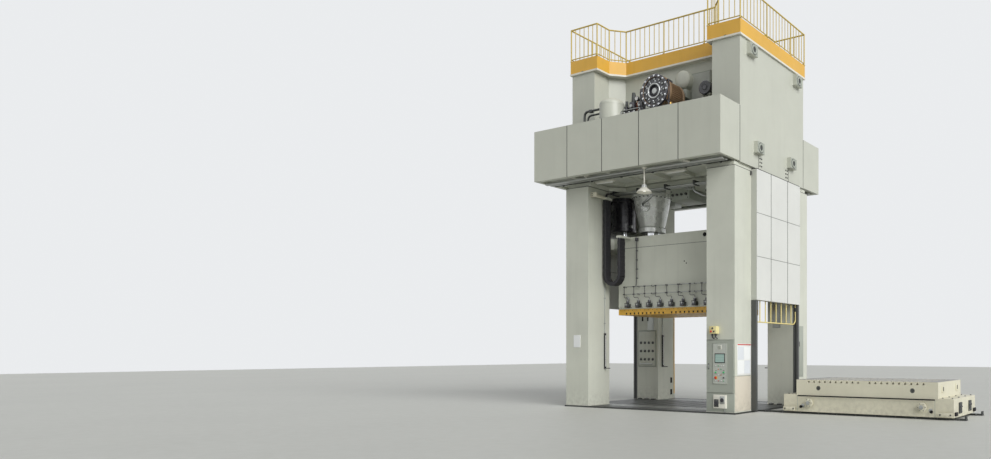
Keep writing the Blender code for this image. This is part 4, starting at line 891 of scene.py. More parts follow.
CORNERS = (*each("front"), *each("back"))
NODE_FINISHES: dict[str, tuple[str, ...]] = {
    "machine_enamel": (
        *each("column", CORNERS),
        *("crown_bottom_plate", "slide", "slide_head", "chain_bracket", "deck_frame"),
    ),
    "fascia_enamel": ("crown",),
    "bolster_enamel": ("bolster_carriage",),
    "cylinder_enamel": each("main_cylinder"),
    "front_fascia": ("fascia_front", "fascia_back"),
    "side_fascia": ("fascia_left",),
    "slotted_top": ("bolster_plate",),
    "cream_enamel": ("crown_top_plate", "socket_box", "oil_tank", "work_lamp"),
    "panel_enamel": ("operator_panel",),
    "box_enamel": ("junction_box",),
    "cabinet_enamel": ("cabinet_door",),
    "yellow_enamel": ("platform_band", "slide_plate"),
    "rail_enamel": ("handrail",),
    "guard_enamel": each("side_guard"),
    "cover_and_guides": each("side_cover"),
    "black_enamel": (
        *each("balance_cylinder"),
        *("blower", "selector_switch"),
        *each("light_curtain", CORNERS),
    ),
    "brown_enamel": ("pump_motor",),
    "chrome": (*each("main_rod"), *each("balance_rod")),
    "dark_steel": (
        *("bed_plate", *each("wheel_set"), "die_clamps", "valve_block", "tank_pipe"),
        *each("tie_rod", CORNERS),
    ),
    "tread_plate": ("service_deck",),
    "moulded_nylon": ("cable_chain",),
    "screen": ("touch_screen",),
    "green_plastic": each("start_button"),
    "red_plastic": ("stop_button",),
}


def dress(paints: Paintbox) -> None:
    """Gives each CAD node its finish.

    Args:
        paints: The box that hands out the materials.
    """
    for finish, nodes in NODE_FINISHES.items():
        for made in (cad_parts[node] for node in nodes):
            if not made.material_slots:
                made.data.materials.append(None)
            for slot in made.material_slots:
                slot.link = "OBJECT"
                slot.material = paints.get(finish)


class Handrail(Fittings):
    """The handrail of round bars that follows the band, with flat feet at its posts."""

    rail_radius = 0.021
    bar_radius = 0.011
    bar_pitch = 0.175
    bar_foot = 0.06
    bars_between_posts = 8
    post_radius = 0.019

    def build(self) -> None:
        """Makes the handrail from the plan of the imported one."""
        rail = Span("handrail")
        made = self.piece("handrail_bars", "rail_enamel")
        corners = self.plan(rail)
        top, low = rail.high.z - self.rail_radius, rail.low.z
        for start, end in zip(corners, corners[1:] + corners[:1]):
            for height, radius in ((top, self.rail_radius), (low + self.bar_foot, self.bar_radius * 1.3)):
                made.rod(at(start, height), at(end, height), radius, sides=12)
            count = max(1, round((end - start).length / self.bar_pitch))
            for k in range(count):
                foot = start.lerp(end, k / count)
                if k == 0 or (count > self.bars_between_posts and k % self.bars_between_posts == 0):
                    made.rod(at(foot, low), at(foot, top), self.post_radius, sides=8)
                    made.block(at(foot, low + 0.004), (0.03, 0.03, 0.004))
                    made.ball(at(foot, top), self.rail_radius)
                else:
                    made.rod(at(foot, low + self.bar_foot), at(foot, top), self.bar_radius, sides=8)
        made.done(("handrail",), "rail_paint")

    @staticmethod
    def plan(rail: Span) -> list[Vector]:
        """Gives the sixteen corners of the centre line of the handrail's H-shaped plan.

        Args:
            rail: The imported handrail's box.

        Returns:
            The corners in order, at height zero.
        """
        half_bar, outside = 0.016, 0.122
        side, end = rail.high.x - half_bar, rail.high.y - half_bar
        recess = Span("column_front_right").low.x - outside
        waist = CROWN_WAIST_HALF + outside
        quarter = [
            (side, end), (recess, end), (recess, waist + CROWN_CHAMFER), (recess - CROWN_CHAMFER, waist),
        ]
        half = quarter + [(-x, y) for x, y in reversed(quarter)]
        return [Vector((x, y, 0)) for x, y in half + [(-x, -y) for x, y in half]]


class CrownFittings(Fittings):
    """What is bolted to the crown: lug rings, nuts, hatches, recess doors, cabinets and seams."""

    def build(self) -> None:
        """Makes the crown's fittings."""
        self.crown = Span("crown")
        self.top = Span("crown_top_plate").high.z
        self.deck = Span("service_deck").high.z
        self.lugs()
        self.tie_nuts()
        self.hatches()
        self.top_boxes()
        self.recess_doors()
        self.back_cabinets()
        self.seams()

    def lugs(self) -> None:
        """Makes the ring, the packing plates and the screws round each lifting eye, a dark ring painted as
        the shade of the gap round the ring, and a white disc painted as a highlight in the eye.
        """
        made = self.piece("lug_rings", "fascia_enamel")
        ring_profile = [
            (0.125, 0), (0.125, 0.012), (0.117, 0.018), (0.080, 0.018), (0.073, 0.011), (0.071, -0.02),
        ]
        plates = ((-0.18, -0.145, 0.18, -0.09), (-0.18, 0.09, 0.18, 0.145), (-0.18, -0.09, -0.08, 0.09))
        plates += ((0.08, -0.09, 0.18, 0.09),)
        for side in SIDES:
            out, face = (side, 0, 0), side * self.crown.high.x
            for y, z in LUG_CENTRES:
                centre = Vector((face, y, z))
                made.lathe(centre, out, ring_profile, "cabinet_enamel", 36)
                # Painted shade: a dark ring stands for the shadowed gap round the ring.
                made.lathe(centre, out, [(0.140, 0.0), (0.140, 0.006), (0.125, 0.006)], "dark_steel", 36)
                # Painted highlight: a white disc stands for the bright spot in the eye.
                made.post(centre - Vector(out) * 0.078, out, 0.063, 0.050, "white_plastic", 28)
                near, far = face - side * 0.001, face + side * 0.004
                for y0, z0, y1, z1 in plates:
                    made.box((near, y + y0, z + z0), (far, y + y1, z + z1), "cabinet_enamel", 0.0)
                for dy, dz in grid((-0.155, 0.155), (-0.12, 0.12)):
                    foot = (face - side * 0.0205, y + dy, z + dz)
                    made.post(foot, out, 0.02, 0.011, "dark_steel", 10)
        made.done(slot="machine_paint")

    def tie_nuts(self) -> None:
        """Makes the split nut and washer on each tie rod."""
        made = self.piece("tie_nuts", "machined_steel")
        plate = self.top
        washer = [(0.235, 0.0), (0.235, 0.02), (0.229, 0.026), (0.172, 0.026)]
        for rod in map(Span, each("tie_rod", CORNERS)):
            made.lathe(at(rod.mid, plate), UP, washer, "dark_steel", 40)
            for turn in spokes(at(rod.mid, 0), "Z", 12):
                low, high = (0.155, -0.018, plate + 0.03), (0.182, 0.018, plate + 0.19)
                made.box(low, high, "dark_steel", 0.004, turn)
            cap = [(0.082, 0.0), (0.082, 0.018), (0.076, 0.0195)]
            made.lathe(at(rod.mid, rod.high.z - 0.02), UP, cap, sides=32)
        made.done(slot="dark_steel")

    def hatches(self) -> None:
        """Makes the three bolted tread plates with their two handles each."""
        made = self.piece("crown_hatch", "tread_plate")
        plate = self.top
        for middle in (0.0, -1.3, 1.3):
            x0, x1 = middle - 0.55, middle + 0.55
            made.box((x0, -0.75, plate), (x1, 0.75, plate + 0.012), bevel=0.003)
            places = grid((x0 + 0.05, x1 - 0.05), (-0.7, 0, 0.7))
            made.bolts([at(place, plate + 0.012) for place in places], UP, 0.012)
            for y in (-0.3, 0.3):
                ends = ((-0.08, 0.006), (-0.08, 0.05), (0.08, 0.05), (0.08, 0.006))
                made.pipe([(middle + dx, y, plate + rise) for dx, rise in ends], 0.007, "ground_steel", 0.02)
        made.done(slot="dark_steel")

    def top_boxes(self) -> None:
        """Makes the vented box on each tower."""
        made = self.piece("crown_top_boxes", "machine_enamel")
        for side in SIDES:
            x, plate = side * TOWER_X, self.top
            made.box((x - 0.22, -0.35, plate), (x + 0.22, 0.35, plate + 0.16), bevel=0.01)
            made.box((x - 0.24, -0.37, plate + 0.16), (x + 0.24, 0.37, plate + 0.175), "cream_enamel", 0.004)
            for y in along(-0.27, 0.27, 7):
                # Vent slots drawn as painted shade.
                made.block((x - side * 0.222, y, plate + 0.085), (0.003, 0.025, 0.045), "hole_black", 0.002)
        made.done(slot="machine_paint")

    def recess_doors(self) -> None:
        """Makes the two doors on the wall of the crown's front recess."""
        made = self.piece("recess_doors", "cabinet_enamel")
        wall, top = -CROWN_WAIST_HALF, self.crown.high.z
        for x0, x1, z0, z1 in (
            (0.72, 1.38, self.deck + 1.15, top - 0.30),
            (-1.42, -0.60, self.deck + 1.0, top - 0.9),
        ):
            made.box((x0, wall - 0.035, z0), (x1, wall + 0.01, z1), bevel=0.006)
            inner = ((x0 + 0.03, wall - 0.045, z0 + 0.03), (x1 - 0.03, wall - 0.03, z1 - 0.03))
            made.box(*inner, "panel_enamel", 0.004)
            for z in along(z0 + 0.2, z1 - 0.2, 3):
                made.post((x0 + 0.012, wall - 0.042, z - 0.05), UP, 0.1, 0.012, "dark_steel", 12)
            made.block((x1 - 0.105, wall - 0.055, (z0 + z1) / 2), (0.015, 0.015, 0.06), "black_enamel")
        made.done(slot="cabinet_paint")

    def back_cabinets(self) -> None:
        """Makes the cabinets and the pipes on the wall of the crown's back recess."""
        made = self.piece("back_cabinets", "cabinet_enamel")
        # Pin holes drawn as painted shade.
        wall, deck, top = CROWN_WAIST_HALF, self.deck, self.crown.high.z
        for x0 in (-1.15, -0.40, 0.35):
            x1 = x0 + 0.73
            made.box((x0, wall - 0.01, deck + 0.9), (x1, wall + 0.30, deck + 2.7), bevel=0.012)
            door = ((x0 + 0.03, wall + 0.29, deck + 0.94), (x1 - 0.03, wall + 0.308, deck + 2.66))
            made.box(*door, "machine_enamel", 0.006)
            for z in along(deck + 1.02, deck + 1.17, 6):
                # Door vent slots drawn as painted shade.
                slot = ((x0 + 0.15, wall + 0.305, z), (x1 - 0.15, wall + 0.313, z + 0.012))
                made.box(*slot, "hole_black", 0.001)
            handle = ((x1 - 0.10, wall + 0.30, deck + 1.75), (x1 - 0.07, wall + 0.335, deck + 1.90))
            made.box(*handle, "black_enamel", 0.004)
            for z in (deck + 1.15, deck + 2.45):
                made.post((x0 + 0.03, wall + 0.315, z - 0.05), UP, 0.1, 0.011, "dark_steel", 12)
        for x in (-1.42, -1.30, 1.30, 1.42):
            route = ((x, deck), (x, top - 0.25), (x * 0.8, top - 0.12))
            made.pipe([(along_x, wall + 0.06, z) for along_x, z in route], 0.025, "dark_steel", 0.1)
            for z in along(deck + 0.5, top - 0.6, 4):
                made.block((x, wall + 0.045, z), (0.045, 0.05, 0.02), "machine_enamel", 0.004)
        made.done(slot="cabinet_paint")

    def seams(self) -> None:
        """Makes the weld beads, the joint lines drawn as painted shade, and the bolts on the crown's outer
        sides.
        """
        crown = self.crown
        made = self.piece("crown_seams", "fascia_enamel")
        half = crown.high.y
        for side in SIDES:
            x = side * (crown.high.x - LUG_DEPTH)
            for z in (crown.low.z + 0.02, crown.high.z - 0.02):
                made.rod((x, -half + 0.01, z), (x, half - 0.01, z), 0.008, sides=8)
            # Joint lines drawn as painted shade.
            for y in (-0.87, 0.87):
                low = (x - side * 0.01, y - 0.008, crown.low.z + 0.02)
                high = (x + side * 0.002, y + 0.008, crown.low.z + 0.40)
                made.box(low, high, "hole_black", 0.0)
            places = grid((-0.79, -0.70, 0.70, 0.79), (0.12, 0.22, 0.32))
            made.bolts([(x, y, crown.low.z + rise) for y, rise in places], (side, 0, 0), 0.016)
            for y, z in LUG_CENTRES:
                wide, tall = LUG_HALF_WIDTH, LUG_HALF_HEIGHT
                corners = [(x, y + a * wide, z + b * tall) for a, b in ((-1, -1), (1, -1), (1, 1), (-1, 1))]
                for start, end in zip(corners, corners[1:] + corners[:1]):
                    made.rod(start, end, 0.011, sides=8)
        made.done(slot="machine_paint")


class DeckFittings(Fittings):
    """The service deck's fascia hems, light pipes, braces, trunking and grating."""

    def build(self) -> None:
        """Makes the deck's fittings."""
        self.fascia()
        self.trunking()
        self.light_pipes()
        self.walkway()

    def fascia(self) -> None:
        """Makes the fascia's hems, the cleats behind its joints, dark strips at its ends painted as the shade
        of its edges, and its screws.
        """
        front, back = Span("fascia_front"), Span("fascia_back")
        top, low, left = front.high.z, front.low.z, Span("fascia_left").low.x
        x0, x1, y0, y1 = front.low.x, front.high.x, front.low.y, back.high.y
        made = self.piece("fascia_hems", "fascia_enamel")
        for z0, z1 in ((top - 0.045, top - 0.002), (low + 0.002, low + 0.045)):
            made.box((x0 + 0.05, y0 + 0.039, z0), (x1 - 0.05, y0 + 0.075, z1), bevel=0.005)
            made.box((x0 + 0.05, y1 - 0.075, z0), (x1 - 0.05, y1 - 0.039, z1), bevel=0.005)
            made.box((left + 0.039, y0 + 0.05, z0), (left + 0.075, y1 - 0.05, z1), bevel=0.005)
        joints = along(x0, x1, FASCIA_PANELS + 1)[1:-1]
        z0, z1 = low + 0.10, top - 0.05
        for x, y in zip(joints, along(y0, y1, FASCIA_PANELS + 1)[1:-1]):
            for near, far in ((y0 + 0.039, y0 + 0.09), (y1 - 0.09, y1 - 0.039)):
                made.box((x - 0.04, near, z0), (x + 0.04, far, z1), bevel=0.005)
            made.box((left + 0.039, y - 0.04, z0), (left + 0.09, y + 0.04, z1), bevel=0.005)
        made.done(slot="machine_paint")
        # Painted shade: dark strips stand for the shade at the fascia's end edges.
        seals_and_shade_strips = self.piece("fascia_end_shade_strips", "rubber")
        for y in (-Span("crown").high.y, Span("crown").high.y):
            seals_and_shade_strips.box((x1 - 0.004, y - 0.010, low + 0.004), (x1 + 0.0015, y + 0.010, top - 0.004), bevel=0.0)
        seals_and_shade_strips.done(slot="black_paint")
        screws = self.piece("fascia_screws", "machined_steel")
        for x, z in grid(
            [x + dx for x in joints for dx in (-0.035, 0.035)], along(low + 0.10, top - 0.10, 4)
        ):
            screws.screws([(x, y0 + 0.0035, z)], FRONT, 0.007)
            screws.screws([(x, y1 - 0.0035, z)], BACK, 0.007)
        screws.done(slot="ground_steel")

    def trunking(self) -> None:
        """Makes the trunking and the conduits with their clips under the deck."""
        beams = Span("deck_frame")
        low, front, back = beams.low.z, beams.low.y, beams.high.y
        left, right = beams.low.x, beams.high.x
        made = self.piece("deck_trunking", "silver_enamel")
        for y, width, drop in (
            (front + 0.30, 0.10, 0.06), (front + 0.48, 0.06, 0.05), (back - 0.35, 0.10, 0.06),
        ):
            made.box((left + 0.1, y - width / 2, low - drop), (right - 0.1, y + width / 2, low + 0.002))
        for y, radius in ((front + 0.62, 0.016), (front + 0.67, 0.011), (back - 0.50, 0.016)):
            made.rod(
                (left + 0.12, y, low - radius), (right - 0.12, y, low - radius), radius, "dark_steel", 10,
            )
        for x in along(left + 0.4, right - 0.4, 6):
            for y0, y1 in ((front + 0.58, front + 0.70), (back - 0.54, back - 0.46)):
                made.box((x - 0.02, y0, low - 0.04), (x + 0.02, y1, low + 0.002), "dark_steel", 0.003)
        for y in (-0.6, 0.0, 0.6):
            made.rod((left + 0.08, y, low - 0.012), (-2.92, y, low - 0.012), 0.012, "dark_steel", 10)
        made.done(slot="machine_paint")

    def light_pipes(self) -> None:
        """Makes the pale braces at the deck's front corners and the two tube lights."""
        beams = Span("deck_frame")
        low, front = beams.low.z, beams.low.y
        made = self.piece("deck_light_pipes", "cream_enamel")
        for side in SIDES:
            x = side * (Span("column_front_right").low.x - 0.35)
            y = front + 0.12
            made.pipe([(x, y, low - 0.02), (x, y, low + 0.03), (x, -1.95, low + 0.03)], 0.02, bend=0.05)
            made.rod((x, y, low - 0.015), (x + side * 0.35, -1.9, low - 0.015), 0.022, sides=12)
            made.block((x + side * 0.35, -1.9, low - 0.0225), (0.04, 0.05, 0.0275), "machine_enamel", 0.005)
        y = front + 0.85
        for x in (-1.6, 0.9):
            made.block((x, y, low - 0.03), (0.35, 0.05, 0.025), bevel=0.012)
            made.rod((x - 0.30, y, low - 0.062), (x + 0.30, y, low - 0.062), 0.018, "white_plastic", 14)
            for dx in (-0.25, 0.25):
                made.box(
                    (x + dx - 0.015, y - 0.02, low - 0.01),
                    (x + dx + 0.015, y + 0.02, low + 0.101),
                    "dark_steel", 0.002,
                )
        made.done(slot="white_paint")

    def walkway(self) -> None:
        """Makes the grating strips along the deck's front and back."""
        deck = Span("service_deck")
        top, x0, x1 = deck.high.z, deck.low.x + 0.08, deck.high.x - 0.08
        made = self.piece("deck_grating", "dark_steel")
        for y0, y1 in ((deck.low.y + 0.08, deck.low.y + 0.62), (deck.high.y - 0.70, deck.high.y - 0.08)):
            for y in along(y0, y1, 4):
                made.box((x0, y - 0.008, top), (x1, y + 0.008, top + 0.022), bevel=0.002)
            for x in along(x0, x1, 24):
                made.box((x - 0.004, y0, top + 0.004), (x + 0.004, y1, top + 0.020), bevel=0.001)
        made.done(slot="dark_steel")


class DeckMachinery(Fittings):
    """The pump motor, its valves, the oil tank, the blower and the small round reservoir."""

    def build(self) -> None:
        """Makes the machinery on the service deck."""
        self.deck = Span("service_deck").high.z
        self.motor, self.block = Span("pump_motor"), Span("valve_block")
        self.shoulder = self.block.high.z
        self.step = self.motor.mid.x - 0.50
        self.pump()
        self.feeds()
        self.valves()
        self.gauges()
        self.tank()
        self.tank_pipes()
        self.blower()
        self.reservoir()

    def pump(self) -> None:
        """Makes the pump motor: flange, ribs, hub, blades, bolts and feet."""
        x, front, z = self.motor.mid.x, self.motor.low.y, self.motor.mid.z
        base = (x, front, z)
        made = self.piece("pump_motor_body", "brown_enamel")
        profile = [(0.20, 0.075), (0.205, 0.0), (0.225, 0.0), (0.235, 0.02), (0.36, 0.035), (0.375, 0.0)]
        profile += [(0.438, 0.0), (0.45, 0.012), (0.45, 0.05), (0.425, 0.06), (0.425, 0.15), (0.45, 0.16)]
        profile += [(0.45, 0.208), (0.438, 0.22), (0.372, 0.235), (0.372, 0.80), (0.40, 0.82), (0.40, 0.87)]
        made.lathe(base, BACK, [*profile, (0.36, 0.90)], sides=48)
        for turn in spokes(base, "Y", 48):
            made.box((0.36, 0.25, -0.006), (0.398, 0.80, 0.006), "", 0.003, turn, 1)
        made.bolts(ring(base, FRONT, 0.407, 16), FRONT, 0.018, "chrome")
        made.bolts(ring((x, front + 0.015, z), FRONT, 0.262, 10, 0.2), FRONT, 0.013, "chrome")
        hub = [(0.15, 0.0), (0.14, 0.02), (0.10, 0.045), (0.05, 0.055)]
        made.lathe((x, front + 0.076, z), FRONT, hub, "black_enamel", 36)
        rim_line = ring((x, front + 0.004, z), FRONT, 0.19, 36)
        made.pipe([*rim_line, rim_line[0]], 0.020, "ground_steel", 0.001)
        boss = [(0.075, -0.04), (0.075, 0.02), (0.05, 0.026)]
        made.lathe((x, front + 0.030, z), FRONT, boss, "machined_steel", 30)
        for turn in spokes(base, "Y", 12):
            made.box((0.272, 0.006, -0.035), (0.352, 0.034, 0.035), "dark_steel", 0.008, turn)
            start, end = (turn @ Vector((0.312, y, 0)) for y in (0.005, 0.030))
            made.rod(start, end, 0.021, "machined_steel", 12)
        for side, y in grid(SIDES, (0.36, 0.72)):
            made.block((x + side * 0.27, front + y, z - 0.359), (0.07, 0.06, 0.089), bevel=0.01)
        made.box(
            (x - 0.10, front + 0.40, z + 0.34), (x + 0.14, front + 0.66, z + 0.448), "black_enamel", 0.012,
        )
        rim = [(0.15, 0.06), (0.155, -0.001), (0.225, -0.001), (0.235, 0.015), (0.36, 0.030), (0.377, -0.001)]
        rim += [(0.438, -0.001), (0.4505, 0.011), (0.4505, 0.05)]
        made.lathe(base, BACK, rim, "black_enamel", 48)
        made.done(("pump_motor",), "brown_paint")

    def feeds(self) -> None:
        """Makes the bent pipes from the pump's flange down to the valve block."""
        x, front, z = self.motor.mid.x, self.motor.low.y, self.motor.mid.z
        made = self.piece("pump_feed_pipes", "black_enamel")
        for angle, reach in ((2.5, 0.12), (2.9, 0.16), (3.5, 0.12), (0.6, 0.10), (5.6, 0.14)):
            out = Vector((math.cos(angle), 0, math.sin(angle)))
            start = Vector((x, front + 0.10, z)) + out * 0.40
            elbow = start + out * reach
            turned = elbow + Vector((0, 0.02, -0.2))
            foot = (min(max(turned.x, x - 0.45), x + 0.45), front + 0.12, self.shoulder - 0.16)
            made.pipe([start, elbow, turned, foot], 0.022, bend=0.09)
            made.rod(start - out * 0.03, start + out * 0.035, 0.03, "dark_steel", 6)
        made.done(slot="black_paint")

    def valves(self) -> None:
        """Makes the valve manifold under and beside the pump."""
        block, deck, step = self.block, self.deck, self.step
        shelf, seat, front = self.shoulder - 0.18, self.motor.low.z, block.low.y
        made = self.piece("valve_manifold", "dark_steel")
        made.box((step, front, deck), (block.high.x, block.high.y, seat - 0.001), bevel=0.012)
        made.box((block.low.x, front + 0.02, deck), (step, block.high.y - 0.02, shelf), bevel=0.012)
        plug = [(0.05, -0.01), (0.05, -0.002), (0.04, -0.001)]
        for row, z in enumerate(along(deck + 0.25, deck + 1.15, 4)):
            for k, x in enumerate(along(block.low.x + 0.12, block.high.x - 0.12, 8)):
                if (row + k) % 3 == 0:
                    made.lathe((x, front + 0.001, z), FRONT, plug, "machined_steel", 16)
                made.rod((x, front + 0.02, z), (x, front - 0.0005, z), 0.028, "machined_steel", 6)
        for k, x in enumerate(along(block.low.x + 0.09, step - 0.08, 4)):
            for j, y in enumerate(along(front + 0.14, block.high.y - 0.16, 5)):
                reach = 0.10 + 0.07 * ((k * 3 + j * 2) % 3) / 2
                finish = ("dark_steel", "black_enamel", "machined_steel")[(k + j) % 3]
                top = shelf + reach * 0.6
                made.box((x - 0.045, y - 0.055, shelf), (x + 0.045, y + 0.055, top), finish, 0.006)
                finish = ("machined_steel", "black_enamel")[j % 2]
                made.rod((x, y, top), (x, y, shelf + reach), 0.030, finish, 14, 0.9, 0.004)
        for j, y in enumerate(along(front + 0.10, block.high.y - 0.10, 6)):
            rise = self.shoulder - 0.05 - 0.03 * (j % 3)
            route = ((block.low.x + 0.02, deck + 0.9), (block.low.x + 0.02, rise), (step - 0.02, rise))
            route += ((step - 0.02, seat - 0.10),)
            made.pipe([(x, y, z) for x, z in route], 0.014, ("machined_steel", "black_enamel")[j % 2], 0.05)
        for x, y, half, rise in (
            (-0.70, -1.98, 0.065, 0.44),
            (-0.57, -1.84, 0.08, 0.70),
            (-0.42, -2.02, 0.09, 0.56),
            (-0.27, -1.86, 0.08, 0.74),
            (-0.14, -2.04, 0.06, 0.50),
        ):
            neck, side = shelf + rise * 0.62, shelf + rise * 0.4
            made.box((x - half, y - half, shelf), (x + half, y + half, neck), "black_enamel", 0.012)
            made.rod((x, y, neck), (x, y, shelf + rise), half * 0.72, "dark_steel", 18, 0.85, 0.008)
            start = (x, y - half - 0.05, side)
            made.rod(start, (x, y - half, side), half * 0.5, "machined_steel", 14, 1, 0.004)
        for x in (step + 0.06, block.high.x - 0.06):
            nipple = [(0.05, 0), (0.05, 0.05), (0.03, 0.07), (0.03, 0.11)]
            made.lathe((x, front + 0.2, seat - 0.01), UP, nipple, "brass", 16)
        made.done(("valve_block",), "dark_steel")

    def gauges(self) -> None:
        """Makes the three pressure gauges on their copper pipes."""
        made = self.piece("pressure_gauges", "black_enamel")
        y = self.block.low.y + 0.20
        for dx, dz, radius in ((0.17, 0.10, 0.075), (0.36, 0.05, 0.06), (0.27, 0.26, 0.065)):
            x, z = self.motor.low.x - dx, self.shoulder + dz
            made.pipe([(x, y + 0.03, self.shoulder - 0.12), (x, y + 0.03, z)], 0.010, "copper")
            case = [(radius, 0.0), (radius, 0.05), (radius * 0.93, 0.056), (radius * 0.88, 0.05)]
            made.lathe((x, y + 0.05, z), FRONT, case, sides=28)
            made.rod((x, y + 0.001, z), (x, y - 0.002, z), radius * 0.86, "white_plastic", 28)
            made.box((x - 0.002, y - 0.004, z), (x + 0.002, y - 0.001, z + radius * 0.7), "red_plastic", 0.0)
        made.done(slot="black_paint")

    def tank(self) -> None:
        """Makes the domed tank with its bands and its filler."""
        tank = Span("oil_tank")
        top, radius, height = tank.high.z, tank.size.x / 2, tank.high.z - self.deck
        made = self.piece("oil_tank_shell", "fascia_enamel")
        profile = [(radius * 0.92, 0.0), (radius * 0.92, 0.12), (radius, 0.16), (radius, height - 0.17)]
        dome = along(0.12, math.pi / 2 - 0.08, 9)
        profile += [(radius * math.cos(a), height - 0.17 + 0.165 * math.sin(a)) for a in dome]
        made.lathe(at(tank.mid, self.deck), UP, profile, sides=48)
        band = [(radius + 0.0015, -0.012), (radius + 0.003, 0.0), (radius + 0.0015, 0.012)]
        for z in (self.deck + 0.18, self.deck + height * 0.5, top - 0.19):
            made.lathe(at(tank.mid, z), UP, band, sides=48)
        filler = [(0.07, -0.02), (0.07, 0.012), (0.05, 0.026)]
        made.lathe(at(tank.mid, top - 0.03), UP, filler, "machined_steel", 24)
        made.bolts(ring(at(tank.mid, top - 0.018), UP, 0.055, 6), UP, 0.006, "ground_steel", False)
        made.done(("oil_tank",), "white_paint")

    def tank_pipes(self) -> None:
        """Makes the tank's two pipes with their flanges and the valve between them."""
        tank, pipe = Span("oil_tank"), Span("tank_pipe")
        y, side = tank.mid.y, tank.mid.x - tank.size.x / 2
        px, pz = pipe.low.x + 0.035, pipe.high.z - 0.035
        made = self.piece("tank_pipes", "dark_steel")
        for dx, dz, size in ((0.0, 0.0, 0.033), (0.13, -0.13, 0.026)):
            x, z = px + dx, pz + dz
            route = [(x, y, self.deck), (x, y, z), (side - 0.05, y, z), (side + 0.02, y, z)]
            made.pipe(route, size, bend=0.14, sides=3)
            flange = [(size * 1.7, 0.0), (size * 1.7, 0.02), (size * 1.2, 0.024)]
            made.lathe((side - 0.03, y, z), (-1, 0, 0), flange, sides=20)
            foot = [(size * 2, 0.0), (size * 2, 0.02), (size * 1.2, 0.026)]
            made.lathe((x, y, self.deck), UP, foot, sides=20)
        made.box((px + 0.20, y - 0.045, pz - 0.05), (px + 0.30, y + 0.045, pz + 0.033), "dark_steel", 0.008)
        made.done(("tank_pipe",), "dark_steel")

    def blower(self) -> None:
        """Makes the black blower with its guard rings and its stand."""
        fan, deck = Span("blower"), self.deck
        x, y, front, radius = fan.mid.x, fan.mid.y, fan.low.y, fan.size.x / 2
        z = fan.high.z - radius
        foot = z - radius
        made = self.piece("blower_unit", "black_enamel")
        profile = [
            (0.06, 0.0), (0.07, 0.012), (radius - 0.02, 0.0), (radius - 0.002, 0.012), (radius - 0.002, 0.10),
        ]
        profile += [(radius - 0.03, 0.115), (radius - 0.03, 0.38), (radius - 0.06, 0.42)]
        made.lathe((x, front, z), BACK, profile, sides=36)
        for turn in spokes((x, front, z), "Y", 24):
            made.box((radius - 0.035, 0.13, -0.004), (radius - 0.004, 0.37, 0.004), "", 0.002, turn, 1)
        for r in (0.08, 0.115, 0.15):
            wire = [(r - 0.004, -0.01), (r - 0.004, 0.004), (r + 0.004, 0.004), (r + 0.004, -0.01)]
            made.lathe((x, front + 0.006, z), FRONT, wire, "dark_steel", 30)
        made.box((x - 0.13, y - 0.13, deck), (x + 0.13, y + 0.13, deck + 0.03), "machine_enamel", 0.004)
        for dx, dy in grid((-0.1, 0.1), (-0.1, 0.1)):
            low = (x + dx - 0.025, y + dy - 0.025, deck + 0.02)
            high = (x + dx + 0.025, y + dy + 0.025, foot + 0.05)
            made.box(low, high, "machine_enamel", 0.004)
        made.box(
            (x - 0.15, y - 0.15, foot + 0.005), (x + 0.15, y + 0.15, foot + 0.04), "machine_enamel", 0.005,
        )
        made.done(("blower",), "black_paint")

    def reservoir(self) -> None:
        """Makes the round cream reservoir on its grey block, behind the pump's right side."""
        wall = -CROWN_WAIST_HALF
        x, z = self.motor.high.x - 0.31, self.motor.high.z + 0.18
        made = self.piece("round_reservoir", "machine_enamel")
        profile = [(0.245, 0.0), (0.245, 0.22), (0.235, 0.25), (0.20, 0.275), (0.12, 0.295)]
        made.lathe((x, wall + 0.001, z), FRONT, profile)
        made.lathe((x, wall - 0.20, z), FRONT, [(0.252, 0.0), (0.252, 0.03), (0.246, 0.034)])
        made.bolts(ring((x, wall - 0.235, z), FRONT, 0.225, 10), FRONT, 0.010, "machined_steel")
        made.box(
            (x - 0.13, wall - 0.24, z - 0.52), (x + 0.13, wall + 0.002, z - 0.28), "cabinet_enamel", 0.01,
        )
        made.post((x, wall - 0.12, z - 0.30), UP, 0.08, 0.06, "machined_steel", 20)
        made.pipe([(x, wall - 0.12, z - 0.5), (x, wall - 0.12, self.deck)], 0.04, "machined_steel")
        made.done(slot="white_paint")


